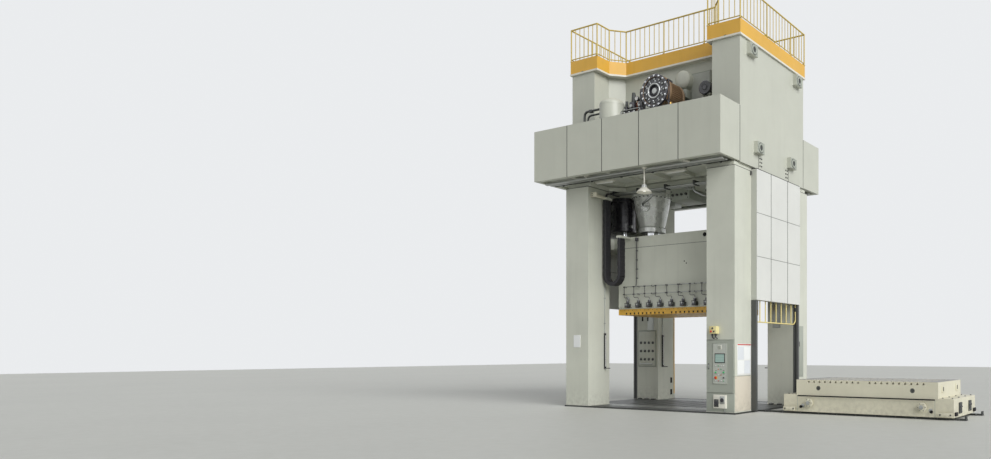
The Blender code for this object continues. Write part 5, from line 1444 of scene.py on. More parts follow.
class Cylinders(Fittings):
    """The two main cylinders with their rods, and the two black balance cylinders."""

    def build(self) -> None:
        """Makes the cylinders and their rods."""
        self.top = Span("column_front_left").high.z
        for name, side in NAMED_SIDES:
            self.main(name, side)
            self.ram(name, "main", ((0.33, 0.0), (0.34, 0.01), (0.34, 0.08), (0.33, 0.09)), 0.26, 0.36)
            self.balance(name, side)
            self.ram(name, "balance", ((0.155, 0.0), (0.16, 0.008), (0.16, 0.052), (0.152, 0.06)), 0.09, 0.30)
        self.pipes()

    def main(self, name: str, side: int) -> None:
        """Makes the casting of the main cylinder on a side, under the crown.

        Args:
            name: "left" or "right".
            side: -1 for left or 1 for right.
        """
        barrel = Span("main_cylinder_" + name)
        x, top, low = barrel.mid.x, self.top, barrel.low.z
        bottom, gland = top - 0.10, low + 0.14
        made = self.piece("main_cylinder_casting_" + name, "cylinder_enamel")
        profile = [(0.262, low + 0.001), (0.40, low + 0.001), (0.41, low + 0.01), (0.41, gland - 0.008)]
        profile += [(0.40, gland), (0.385, gland + 0.03), (0.43, gland + 0.20), (0.50, bottom - 0.36)]
        profile += [(0.560, bottom - 0.03), (0.583, bottom), (0.62, bottom), (0.63, bottom + 0.01)]
        made.lathe((x, 0, 0), UP, [*profile, (0.63, top - 0.012), (0.62, top)], sides=56)
        made.bolts(ring((x, 0, bottom), DOWN, 0.603, 28), DOWN, 0.020)
        made.bolts(ring((x, 0, gland), UP, 0.395, 16, 0.1), UP, 0.012, washer=False)
        seal = [(0.345, -0.01), (0.345, 0.0015), (0.27, 0.0015)]
        made.lathe((x, 0, low + 0.002), DOWN, seal, "machined_steel")
        out = Vector((-0.25 * side, -0.97, 0)).normalized()
        face = Vector((x, 0, bottom - 0.30)) + out * 0.50
        flange = [(0.15, -0.04), (0.15, 0.02), (0.14, 0.03), (0.10, 0.03), (0.09, 0.02)]
        made.lathe(face, out, flange, sides=32)
        made.bolts(ring(face + out * 0.03, out, 0.12, 8), out, 0.011, washer=False)
        made.done(("main_cylinder_" + name,), "machine_paint")

    def ram(self, name: str, kind: str, foot: Profile, radius: float, hidden: float) -> None:
        """Makes a cylinder's rod with its bolted foot.

        Args:
            name: "left" or "right".
            kind: "main" or "balance".
            foot: The foot's profile.
            radius: The rod's radius.
            hidden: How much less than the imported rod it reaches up.
        """
        rod = Span(f"{kind}_rod_{name}")
        base, face = (rod.mid.x, 0, rod.low.z), foot[-1][1]
        circle, count, bolt, sides = 0.128, 8, 0.012, (40, 36)
        if kind == "main":
            circle, count, bolt, sides = 0.30, 16, 0.014, (48, 56)
        made = self.piece(f"{kind}_ram_{name}", "chrome", Body.SLIDE)
        made.lathe(base, UP, foot, "machined_steel", sides[0])
        shaft = [(radius, 0.0), (radius, rod.size.z - hidden)]
        made.lathe(at(base, rod.low.z + face - 0.01), UP, shaft, sides=sides[1])
        made.bolts(ring(at(base, rod.low.z + face), UP, circle, count), UP, bolt, washer=False)
        made.done((f"{kind}_rod_{name}",), "ground_steel")

    def balance(self, name: str, side: int) -> None:
        """Makes the black balance cylinder on a side, with its bands and its port.

        Args:
            name: "left" or "right".
            side: -1 for left or 1 for right.
        """
        barrel = Span("balance_cylinder_" + name)
        x, top, low = barrel.mid.x, self.top, barrel.low.z
        made = self.piece("balance_cylinder_shell_" + name, "black_enamel")
        profile = [(0.375, low + 0.001), (0.39, low + 0.006), (0.395, low + 0.02), (0.395, low + 0.07)]
        profile += [(0.372, low + 0.085), (0.372, top - 0.16), (0.395, top - 0.145), (0.395, top - 0.03)]
        made.lathe((x, 0, 0), UP, [*profile, (0.385, top - 0.001)], sides=48)
        made.bolts(ring((x, 0, low + 0.084), UP, 0.382, 14), UP, 0.011, washer=False)
        for z in along(low + 0.28, top - 0.30, 3):
            made.lathe(
                (x, 0, z), UP, [(0.374, -0.02), (0.378, -0.016), (0.378, 0.016), (0.374, 0.02)], sides=48,
            )
        start, end = ((x - side * reach, -0.12, low + 0.16) for reach in (0.31, 0.41))
        made.rod(start, end, 0.05, "machined_steel", 20, 1, 0.005)
        made.done(("balance_cylinder_" + name,), "black_paint")

    def pipes(self) -> None:
        """Makes the pipes, the level pipe bundle and the boxes under the crown."""
        top = self.top
        made = self.piece("crown_pipes", "machined_steel")
        for y in (-0.95, -1.04, -1.13):
            made.rod((-1.98, y, top - 0.09), (1.98, y, top - 0.09), 0.026, sides=14)
            for x in along(-1.9, 1.9, 3) + [-1.0, 1.0]:
                made.box(
                    (x - 0.03, y - 0.042, top - 0.125),
                    (x + 0.03, y + 0.042, top + 0.001),
                    "dark_steel", 0.004,
                )
        for side in SIDES:
            for x in (side * 0.42, side * 0.54):
                route = [(x, -0.95, top - 0.09), (x, -0.60, top - 0.09), (x, -0.60, top + 0.001)]
                made.pipe(route, 0.032, bend=0.08)
            route = ((1.24, -0.58, -0.38), (1.1, -0.78, -0.38), (0.75, -0.80, -0.20), (0.75, -0.80, 0.001))
            made.pipe([(side * x, y, top + rise) for x, y, rise in route], 0.038, bend=0.10)
        made.box((-0.35, -0.45, top - 0.32), (0.35, 0.45, top + 0.001), "cabinet_enamel", 0.012)
        made.bolts([(x, -0.45, z) for x, z in grid((-0.29, 0.29), (top - 0.27, top - 0.06))], FRONT, 0.012)
        for x in along(-0.24, 0.24, 4):
            made.rod((x, -0.45, top - 0.17), (x, -0.50, top - 0.17), 0.035, "dark_steel", 16, 1, 0.004)
        for side, drop in ((1, 0.26), (-1, 0.20)):
            made.box((side * 1.05, 0.75, top - drop), (side * 1.90, 1.10, top + 0.001), "silver_enamel", 0.01)
        made.done(slot="ground_steel")


class SlideFittings(Fittings):
    """The slide's seams, pipes, clamps and gib blocks, and the cable chain in front of it."""

    link_pitch = 0.1

    def build(self) -> None:
        """Makes the slide's fittings."""
        self.slide, self.head, self.plate = Span("slide"), Span("slide_head"), Span("slide_plate")
        self.trim()
        self.pipes()
        self.slot_marks()
        self.clamps()
        self.plate_screws()
        self.gibs()
        self.chain()
        self.chain_ends()

    def trim(self) -> None:
        """Makes the seam line drawn dark as painted shade, the holes, the bosses and the covers on the
        slide's faces.
        """
        low, high, top = self.slide.low, self.slide.high, self.head.low.z
        made = self.piece("slide_trim", "machine_enamel", Body.SLIDE)
        for face, out in ((low.y, -1), (high.y, 1)):
            near, line = face - out * 0.002, face + out * 0.0015
            # Painted shade: a dark strip stands for the shade in the seam under the head.
            made.box(
                (low.x + 0.004, near, top - 0.005), (high.x - 0.004, line, top + 0.006), "dark_steel", 0.0,
            )
            made.box((low.x + 0.02, near, low.z + 0.01), (high.x - 0.02, face + out * 0.012, low.z + 0.07))
            for x, z, radius in (
                (1.28, top + 0.20, 0.06), (0.59, top - 0.50, 0.02), (0.66, top - 0.56, 0.02),
            ):
                # Holes drawn as painted shade.
                made.rod((x, face - out * 0.02, z), (x, line, z), radius, "hole_black", 24)
        for x in (-1.45, 1.45):
            boss = [(0.07, 0.0), (0.07, 0.03), (0.05, 0.04)]
            made.lathe((x, low.y, low.z + 0.30), FRONT, boss, "machined_steel", 28)
        for y, way in ((low.y + 0.001, FRONT), (high.y - 0.001, BACK)):
            made.bolts([(x, y, low.z + 0.04) for x in along(-1.7, 1.7, 18)], way, 0.013)
        for side, y in grid(SIDES, (-0.5, 0.5)):
            x = side * high.x
            made.box((x - side * 0.002, y - 0.18, top - 0.75), (x + side * 0.012, y + 0.18, top - 0.30))
            corners = grid((y - 0.15, y + 0.15), (top - 0.715, top - 0.335))
            made.bolts([(x + side * 0.012, *corner) for corner in corners], (side, 0, 0), 0.012)
        made.done(slot="machine_paint")

    def pipes(self) -> None:
        """Makes the pipe that feeds the clamps up the slide's front, with its clips."""
        row, front, top = Span("die_clamps"), self.slide.low.y, self.head.low.z
        level, x, z1 = row.high.z - 0.0175, -1.085, self.head.high.z
        made = self.piece("slide_pipes", "black_enamel", Body.SLIDE)
        y = front - 0.045
        made.pipe([(x, row.mid.y, level), (x, y, level + 0.12), (x, y, top - 0.2), (x, y, z1 - 0.06)], 0.012)
        for z in along(level + 0.25, top - 0.1, 4):
            made.box(
                (x - 0.02, front - 0.060, z - 0.012),
                (x + 0.02, front + 0.001, z + 0.012),
                "dark_steel", 0.003,
            )
        made.box((x - 0.035, front - 0.07, z1 - 0.14), (x + 0.035, front + 0.001, z1 - 0.04), bevel=0.006)
        made.done(slot="black_paint")

    def slot_marks(self) -> None:
        """Makes the ends of the T-slots on the plate's edges, drawn dark as painted shade."""
        made = self.piece("slide_plate_marks", "black_enamel", Body.SLIDE)
        z0, z1 = self.plate.low.z + 0.020, self.plate.low.z + 0.066
        for face, out in ((self.plate.low.y, -1), (self.plate.high.y, 1)):
            for x in (k * SLOT_PITCH for k in range(-10, 11) if k):
                # Slot ends drawn as painted shade.
                low, high = (x - 0.024, face + out * 0.0005, z0), (x + 0.024, face - out * 0.02, z1)
                made.box(low, high, "hole_black", 0.001)
        made.done(slot="black_paint")

    def clamps(self) -> None:
        """Makes the row of travelling die clamps with their manifold."""
        row = Span("die_clamps")
        front, back, low = row.low.y, row.high.y, row.low.z
        y, upper, lower = front + 0.08, row.high.z - 0.0175, low + 0.40
        post, reach = front + 0.095, (CLAMP_COUNT - 1) / 2 * CLAMP_PITCH
        made = self.piece("travelling_clamps", "dark_steel", Body.SLIDE)
        for x in along(-reach, reach, CLAMP_COUNT):
            made.box((x - 0.07, front + 0.03, low + 0.002), (x + 0.07, back, low + 0.12), bevel=0.008)
            nose = ((x - 0.055, front + 0.004, low + 0.004), (x + 0.055, front + 0.06, low + 0.07))
            made.box(*nose, "black_enamel", 0.008)
            made.post((x, post, low + 0.12), UP, 0.09, 0.042, "black_enamel", 24, 1, 0.004)
            made.post((x, post, low + 0.208), UP, 0.02, 0.030, "machined_steel", 6)
            plug = [(0.028, 0.0), (0.028, 0.022), (0.019, 0.028)]
            made.lathe((x, front + 0.03, low + 0.095), FRONT, plug, "machined_steel", 20)
            bar = front + 0.012
            made.rod((x - 0.06, bar, low + 0.13), (x + 0.06, bar, low + 0.13), 0.009, "black_enamel", 10)
            drop = max(x - 0.16, row.low.x + 0.03)
            made.rod((drop, y, upper), (drop, y, lower), 0.011, "black_enamel", 10)
            for z in (upper, lower):
                made.rod((drop - 0.035, y, z), (drop + 0.035, y, z), 0.0172, "black_enamel", 12)
            feed = [(drop, y, lower), (drop, y, lower - 0.10), (x, post, lower - 0.10), (x, post, low + 0.21)]
            made.pipe(feed, 0.009, "black_enamel", 0.04)
        for z in (upper, lower):
            made.rod((row.low.x, y, z), (row.high.x, y, z), 0.013, "machined_steel", 14)
            for x in along(row.low.x + 0.05, row.high.x - 0.05, 7):
                made.box(
                    (x - 0.016, front + 0.062, z - 0.0165),
                    (x + 0.016, back + 0.001, z + 0.0165),
                    bevel=0.003,
                )
        made.done(("die_clamps",), "dark_steel")

    def plate_screws(self) -> None:
        """Makes the row of screws along the plate's upper edges."""
        low, high = self.plate.low, self.plate.high
        made = self.piece("slide_plate_screws", "dark_steel", Body.SLIDE)
        for face, out in ((low.y, -1), (high.y, 1)):
            places = [(x, face - out * 0.001, high.z - 0.035) for x in along(low.x + 0.08, high.x - 0.08, 24)]
            made.bolts(places, (0, out, 0), 0.010, washer=False)
        made.done(slot="dark_steel")

    def gibs(self) -> None:
        """Makes the gib blocks on the slide's wings, and the guide ways on the columns."""
        column, top = Span("column_front_right"), self.head.high.z
        middles = grid([side * (column.low.x + 0.30) for side in SIDES], SIDES)
        blocks = self.piece("slide_gibs", "machined_steel", Body.SLIDE)
        for x, end in middles:
            y = end * (abs(column.high.y) - 0.004)
            low, high = (x - 0.14, y - end * 0.05, top), (x + 0.14, y - end * 0.004, top + 0.05)
            blocks.box(low, high, "dark_steel", 0.005)
            blocks.bolts([(x + dx, y - end * 0.026, top + 0.05) for dx in (-0.1, 0, 0.1)], UP, 0.013)
        blocks.done(slot="dark_steel")
        ways = self.piece("guide_ways", "machined_steel")
        for x, end in middles:
            y = end * abs(column.high.y)
            ways.box((x - 0.13, y, 2.30), (x + 0.13, y - end * 0.0035, 5.30), bevel=0.001)
        ways.done(slot="ground_steel")

    def chain(self) -> None:
        """Makes the cable chain link by link, blended between the column and the slide."""
        chain = Span("cable_chain")
        fixed_x, moving_x = chain.low.x + 0.05, chain.high.x - 0.05
        start, radius = chain.high.z, (moving_x - fixed_x) / 2
        turn_height = chain.low.z + 0.05 + radius
        total = start - turn_height + math.pi * radius + self.head.high.z - 0.07 - turn_height
        count = round(total / self.link_pitch)
        pitch = total / count
        y, half = chain.mid.y, chain.size.y / 2
        made = self.piece("cable_chain_links", "moulded_nylon")
        for k in range(count):
            x, z, down = self.on_chain((k + 0.5) * pitch, fixed_x, radius, start, turn_height)
            turn = Matrix.Translation((x, y, z)) @ Matrix.Rotation(down, 4, "Y")
            shift = 0.0 if k % 2 else 0.007
            for side in SIDES:
                outer, inner = side * (half - 0.001 - shift), side * (half - 0.014 - shift)
                made.box((-0.046, inner, -pitch * 0.58), (0.046, outer, pitch * 0.58), "", 0.010, turn, 1)
                pin = [turn @ Vector((0, across, -pitch * 0.4)) for across in (inner, side * (half - 0.0005))]
                made.rod(*pin, 0.016, "", 10)
            for dx in (-0.043, 0.043):
                low = (dx - 0.005, 0.012 - half, -pitch * 0.49)
                high = (dx + 0.005, half - 0.012, pitch * 0.49)
                made.box(low, high, "", 0.003, turn, 1)
        links = made.done(("cable_chain",), "chain_plastic", rides=False)
        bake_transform(links)

    @staticmethod
    def on_chain(
        distance: float, fixed: float, radius: float, start: float, turn_height: float
    ) -> tuple[float, float, float]:
        """Finds a point of the chain's middle line.

        Args:
            distance: How far along the chain.
            fixed: Where the fixed leg hangs along x.
            radius: The bend's radius.
            start: The height of the fixed end.
            turn_height: The height where the bend starts.

        Returns:
            The point's x and z, and the link's turn about Y.
        """
        into_bend = distance - (start - turn_height)
        past_bend = into_bend - math.pi * radius
        if into_bend <= 0:
            return fixed, start - distance, 0.0
        if past_bend >= 0:
            return fixed + 2 * radius, turn_height + past_bend, math.pi
        angle = math.pi + into_bend / radius
        x, z = fixed + radius * (1 + math.cos(angle)), turn_height + radius * math.sin(angle)
        return x, z, math.pi - angle

    def chain_ends(self) -> None:
        """Makes the bracket's bar, bolts and conduit, and the block on the slide's arm."""
        chain, bracket, inner = Span("cable_chain"), Span("chain_bracket"), Span("column_front_left").high.x
        start, y, moving, x = chain.high.z, chain.mid.y, chain.high.x - 0.05, bracket.mid.x
        ends = self.piece("chain_bracket_bolts", "machined_steel")
        ends.box(
            (inner - 0.001, -1.98, start), (bracket.high.x, -1.93, start + 0.14), "bolster_enamel", 0.006,
        )
        low, high = (x - 0.05, -1.94, start + 0.02), (x + 0.05, bracket.low.y + 0.005, start + 0.09)
        ends.box(low, high, "bolster_enamel", 0.006)
        ends.bolts([(inner + 0.06, -1.98, start + rise) for rise in (0.04, 0.10)], FRONT, 0.012)
        top = bracket.high.z
        ends.bolts([(x, y + dy, top) for dy in (-0.08, 0, 0.08)], UP, 0.012)
        conduit = [(x - 0.02, y + dy, top + rise) for dy, rise in ((0, -0.01), (0, 0.12), (0.3, 0.19))]
        ends.pipe(conduit, 0.03, "black_enamel", 0.08)
        ends.done(slot="ground_steel")
        arm, top = self.piece("chain_arm_bolts", "machined_steel", Body.SLIDE), self.head.high.z
        arm.bolts([(moving, y + dy, top - 0.01) for dy in (-0.08, 0, 0.08)], UP, 0.012)
        arm.box((moving - 0.05, y - 0.12, top - 0.09), (moving + 0.05, y + 0.12, top - 0.067))
        arm.done(slot="ground_steel")


class SideCovers(Fittings):
    """The side covers' panels, and the round-tube guards below them."""

    tube = 0.0175

    def build(self) -> None:
        """Makes both sides' cover panels and guards."""
        for (name, side), body in zip(NAMED_SIDES, (Body.GUARD_LEFT, Body.GUARD_RIGHT)):
            self.panels(name, side)
            self.guard(name, body)

    def panels(self, name: str, side: int) -> None:
        """Makes the panel screws, the edge screws and the top seal of the cover on a side.

        Args:
            name: "left" or "right".
            side: -1 for left or 1 for right.
        """
        cover = Span("side_cover_" + name)
        low, high, half = Span("side_guard_right").low.z + COVER_ABOVE_GUARD, cover.high.z, cover.high.y
        face = side * max(abs(cover.low.x), abs(cover.high.x))
        screws = self.piece("cover_screws_" + name, "machined_steel")
        rows, uprights = along(low, high, 4), (-half, -COVER_PANEL_WIDTH / 2, COVER_PANEL_WIDTH / 2, half)
        for (y0, y1), (z0, z1) in grid(zip(uprights, uprights[1:]), zip(rows, rows[1:])):
            places = grid((y0 + 0.04, y1 - 0.04), (z0 + 0.05, (z0 + z1) / 2, z1 - 0.05))
            screws.screws([(face - side * 0.001, *place) for place in places], (side, 0, 0), 0.008)
        screws.done(slot="ground_steel")
        trim = self.piece("cover_trim_" + name, "cover_enamel")
        x = side * (abs(face) - 0.14)
        for out, z in grid(SIDES, along(low + 0.1, high - 0.1, 9)):
            start, end = ((x, out * (half - depth), z) for depth in (0.003, 0.0005))
            trim.rod(start, end, 0.009, "machined_steel", 10)
        trim.done(slot="white_paint")
        seals_and_shade_strips = self.piece("cover_seals_" + name, "rubber")
        inner, outer = sorted((side * (Span("column_front_right").high.x + 0.005), face - side * 0.007))
        seals_and_shade_strips.box((inner, 0.012 - half, high - 0.001), (outer, half - 0.012, high + 0.022), bevel=0.003)
        for y in (-half - 0.05, half + 0.02):
            seals_and_shade_strips.box((inner - 0.006, y, high - 0.16), (inner + 0.03, y + 0.03, high - 0.06), bevel=0.006)
        seals_and_shade_strips.done(slot="black_paint")

    def guard(self, name: str, body: Body) -> None:
        """Makes the guard of a side: upright tubes with an upturned bottom tube.

        Args:
            name: "left" or "right".
            body: The body that it moves with.
        """
        guard = Span("side_guard_" + name)
        x, low, high, inset, corner = guard.mid.x, guard.low.z, guard.high.z, self.tube + 0.001, 0.12
        side = guard.high.y - inset
        made = self.piece("guard_tubes_" + name, "guard_enamel", body)
        for y in (-side, side):
            made.rod((x, y, low + corner), (x, y, high), self.tube, sides=14)
        turned = guard.high.y - corner
        bottom = ((-side, corner + 0.05), (-side, corner), (-turned, inset), (turned, inset), (side, corner))
        route = [(x, y, low + rise) for y, rise in (*bottom, (side, corner + 0.05))]
        made.pipe(route, self.tube, bend=0.06, sides=3)
        for z, share, sides in ((high - inset, 1, 14), (high - 1.1, 0.8, 12)):
            made.rod((x, -side, z), (x, side, z), self.tube * share, sides=sides)
        for y in along(-0.9, 0.9, 7):
            made.rod((x, y, low + inset), (x, y, high - inset), self.tube * 0.86, sides=12)
        for y, z in grid((0.02 - guard.high.y, guard.high.y - 0.02), (low + 0.45, high - 0.2)):
            made.block((x, y, z), (0.018, 0.018, 0.06), "dark_steel")
        made.done(("side_guard_" + name,), "guard_paint")


class BolsterFittings(Fittings):
    """The bolster's screws and slot ends, and the carriage's pockets, flanges and couplers."""

    def build(self) -> None:
        """Makes the fittings of the bolster, its carriage, its wheels and its rails."""
        self.table, self.carriage = Span("bolster_plate"), Span("bolster_carriage")
        self.rings()
        self.end_plates()
        self.trim()
        self.couplers()
        self.wheels()
        self.rails()
        self.gratings()

    def rings(self) -> None:
        """Makes the rings of the lifting holes, the edge beads and the pin holes of the bolster."""
        low, x0, top = self.table.low.z, self.table.mid.x, self.table.high.z
        made = self.piece("bolster_rings", "dark_steel", Body.BOLSTER)
        eye = [(0.058, -0.004), (0.058, 0.0), (0.052, 0.002), (0.043, 0.002), (0.041, -0.01)]
        for end in SIDES:
            y = end * self.table.high.y
            for x in (x0 - 1.23, x0 + 1.23):
                made.lathe((x, y, low + 0.20), (0, end, 0), eye, sides=32)
            start, stop = ((x, y - end * 0.004, low + 0.012) for x in (x0 - 1.84, x0 + 1.84))
            made.rod(start, stop, 0.006, "bolster_enamel", 8)
        for x, y in grid(along(x0 - 1.5, x0 + 1.5, 6), (-0.78, -0.26, 0.26, 0.78)):
            made.rod((x, y, top - 0.01), (x, y, top + 0.0012), 0.024, "machined_steel", 18)
            # Pin holes drawn as painted shade.
            made.rod((x, y, top), (x, y, top + 0.0016), 0.012, "hole_black", 12)
        made.done(slot="dark_steel")

    def end_plates(self) -> None:
        """Makes the two plates with their slots on each end of the bolster."""
        made, low = self.piece("bolster_end_plates", "bolster_enamel", Body.BOLSTER), self.table.low.z
        for (side, x), y in grid(zip(SIDES, (self.table.low.x, self.table.high.x)), (-0.62, 0.62)):
            plate = ((x - side * 0.002, y - 0.09, low + 0.15), (x + side * 0.018, y + 0.09, low + 0.33))
            made.box(*plate, bevel=0.005)
            # The slot drawn as painted shade.
            slot = ((x + side * 0.016, y - 0.03, low + 0.19), (x + side * 0.0195, y + 0.03, low + 0.29))
            made.box(*slot, "hole_black", 0.001)
        made.done(slot="machine_paint")

    def trim(self) -> None:
        """Makes the carriage's dark bands, painted as the shade of its groove and its end steps, and its
        trunnion flanges, holes and end brackets.
        """
        x0, low, seat = self.carriage.mid.x, self.carriage.low.z, self.table.low.z
        made = self.piece("carriage_trim", "bolster_enamel", Body.BOLSTER)
        flange = [(0.115, -0.004), (0.115, 0.012), (0.105, 0.018), (0.064, 0.018)]
        cap = [(0.052, -0.012), (0.052, 0.0), (0.044, 0.0012)]
        for end in SIDES:
            face, out = end * self.carriage.high.y, Vector((0, end, 0))
            y0, y1 = face - end * 0.004, face + end * 0.0015
            # Painted shade: a dark band stands for the shadowed groove under the bolster plate.
            made.box((x0 - 1.79, y0, seat - 0.016), (x0 + 1.79, y1, seat + 0.016), "hole_black", 0.0)
            # Painted shade: darker strips stand for the shade at the end blocks' steps.
            for x in (x0 - 1.79, x0 + 1.79):
                made.box((x - 0.005, y0, low + 0.01), (x + 0.005, y1, seat - 0.016), "cabinet_enamel", 0.0)
            for side in SIDES:
                centre = Vector((x0 + side * 1.475, face, low + 0.23))
                made.lathe(centre, out, flange, sides=32)
                made.bolts(ring(centre + out * 0.018, out, 0.09, 6), out, 0.010, washer=False)
                made.lathe(centre + out * 0.0585, out, cap, "machined_steel", 28)
                # The hole drawn as painted shade.
                hole = (x0 + side * 1.70, face - end * 0.02, low + 0.13)
                made.post(hole, out, 0.0215, 0.038, "hole_black", 24)
                inner, outer = x0 + side * 1.86, x0 + side * 2.205
                made.box((inner, face - end * 0.004, low + 0.02), (outer, face + end * 0.010, low + 0.12))
                places = [
                    (x, face + end * 0.010, low + 0.07) for x in (inner + side * 0.05, outer - side * 0.05)
                ]
                made.bolts(places, out, 0.014)
        made.done(slot="machine_paint")

    def couplers(self) -> None:
        """Makes the couplers, the buffers and the hold-down bolts on the carriage's ends."""
        low, top = self.carriage.low.z, self.table.low.z + 0.030
        made = self.piece("carriage_couplers", "dark_steel", Body.BOLSTER)
        for side, face in zip(SIDES, (self.carriage.low.x, self.carriage.high.x)):
            out, near, far = (side, 0, 0), face - side * 0.002, face + side * 0.024
            for y in (-0.45, 0.45):
                made.box((near, y - 0.12, low + 0.08), (far, y + 0.12, low + 0.34), bevel=0.006)
                for across in (y - 0.07, y, y + 0.07):
                    nozzle = (face + side * 0.01, across, low + 0.24)
                    made.post(nozzle, out, 0.035, 0.022, "black_enamel", 18, 0.8, 0.003)
                made.bolts([(far, y + dy, low + 0.12) for dy in (-0.10, 0.10)], out, 0.010, "ground_steel")
            for y in (-0.86, 0.86):
                made.box(
                    (near, y - 0.08, low + 0.04), (face + side * 0.05, y + 0.08, low + 0.13), "rubber", 0.015,
                )
            places = grid((face - side * 0.07, face - side * 0.30), (-0.85, -0.3, 0.3, 0.85))
            made.bolts([at(place, top) for place in places], UP, 0.016)
        made.done(slot="dark_steel")

    def wheels(self) -> None:
        """Makes the wheels' rims, hubs and axle ends."""
        for (name, _), body in zip(NAMED_SIDES, (Body.WHEELS_LEFT, Body.WHEELS_RIGHT)):
            wheels = Span("wheel_set_" + name)
            x, z, radius = wheels.mid.x, wheels.mid.z, wheels.size.z / 2
            made = self.piece("wheel_rims_" + name, "dark_steel", body)
            made.rod((x, wheels.low.y, z), (x, wheels.high.y, z), 0.0495, "machined_steel", 32, 1, 0.004)
            profile = [(0.052, -0.0545), (0.09, -0.0545), (0.095, -0.03), (0.145, -0.03), (0.150, -0.0545)]
            profile += [(radius - 0.006, -0.0545), (radius - 0.0002, -0.048)]
            profile += [(r, -h) for r, h in reversed(profile)]
            for y in (-0.8, 0.8):
                made.lathe((x, y, z), BACK, profile, sides=56)
                for out in SIDES:
                    places = ring((x, y + out * 0.0545, z), (0, out, 0), 0.071, 6)
                    made.bolts(places, (0, out, 0), 0.009, "machined_steel", False)
            made.done(("wheel_set_" + name,), "dark_steel")

    def rails(self) -> None:
        """Makes the rails' clips and end stops."""
        bed, x0 = Span("bed_plate"), Span("column_front_right").high.x + 0.05
        top, x1 = bed.high.z, bed.high.x
        made = self.piece("rail_clips", "dark_steel")
        for y in (-0.8, 0.8):
            for x, side in grid(along(x0 + 0.2, x1 - 0.15, 11), SIDES):
                made.block((x, y + side * 0.0925, 0.007), (0.04, 0.0375, 0.007))
                made.bolts([(x, y + side * 0.108, 0.014)], UP, 0.011, "machined_steel")
            made.box((x1 - 0.035, y - 0.075, top - 0.002), (x1 - 0.003, y + 0.075, top + 0.07), bevel=0.006)
        made.done(slot="dark_steel")

    def gratings(self) -> None:
        """Makes the steel strips on the bed plate between the columns."""
        top, half = Span("bed_plate").high.z, Span("column_front_right").low.x - 0.05
        made = self.piece("bed_gratings", "machined_steel")
        for y in (-1.55, -1.25, 1.25, 1.55):
            made.box((-half, y - 0.06, top), (half, y + 0.06, top + 0.006), bevel=0.002)
        for x in along(-1.5, 1.5, 7):
            made.box((x - 0.004, -1.05, top), (x + 0.004, 1.05, top + 0.005), "dark_steel", 0.001)
        made.done(slot="dark_steel")


LAMP_ROWS: dict[float, dict[float, str]] = {
    1.235: {-0.12: "white", -0.04: "green", 0.04: "white", 0.12: "white"},
    1.15: {-0.04: "orange", 0.04: "green"},
    1.0: {-0.04: "white", 0.04: "orange"},
    0.85: {-0.12: "white", -0.04: "red", 0.04: "white", 0.12: "green"},
}


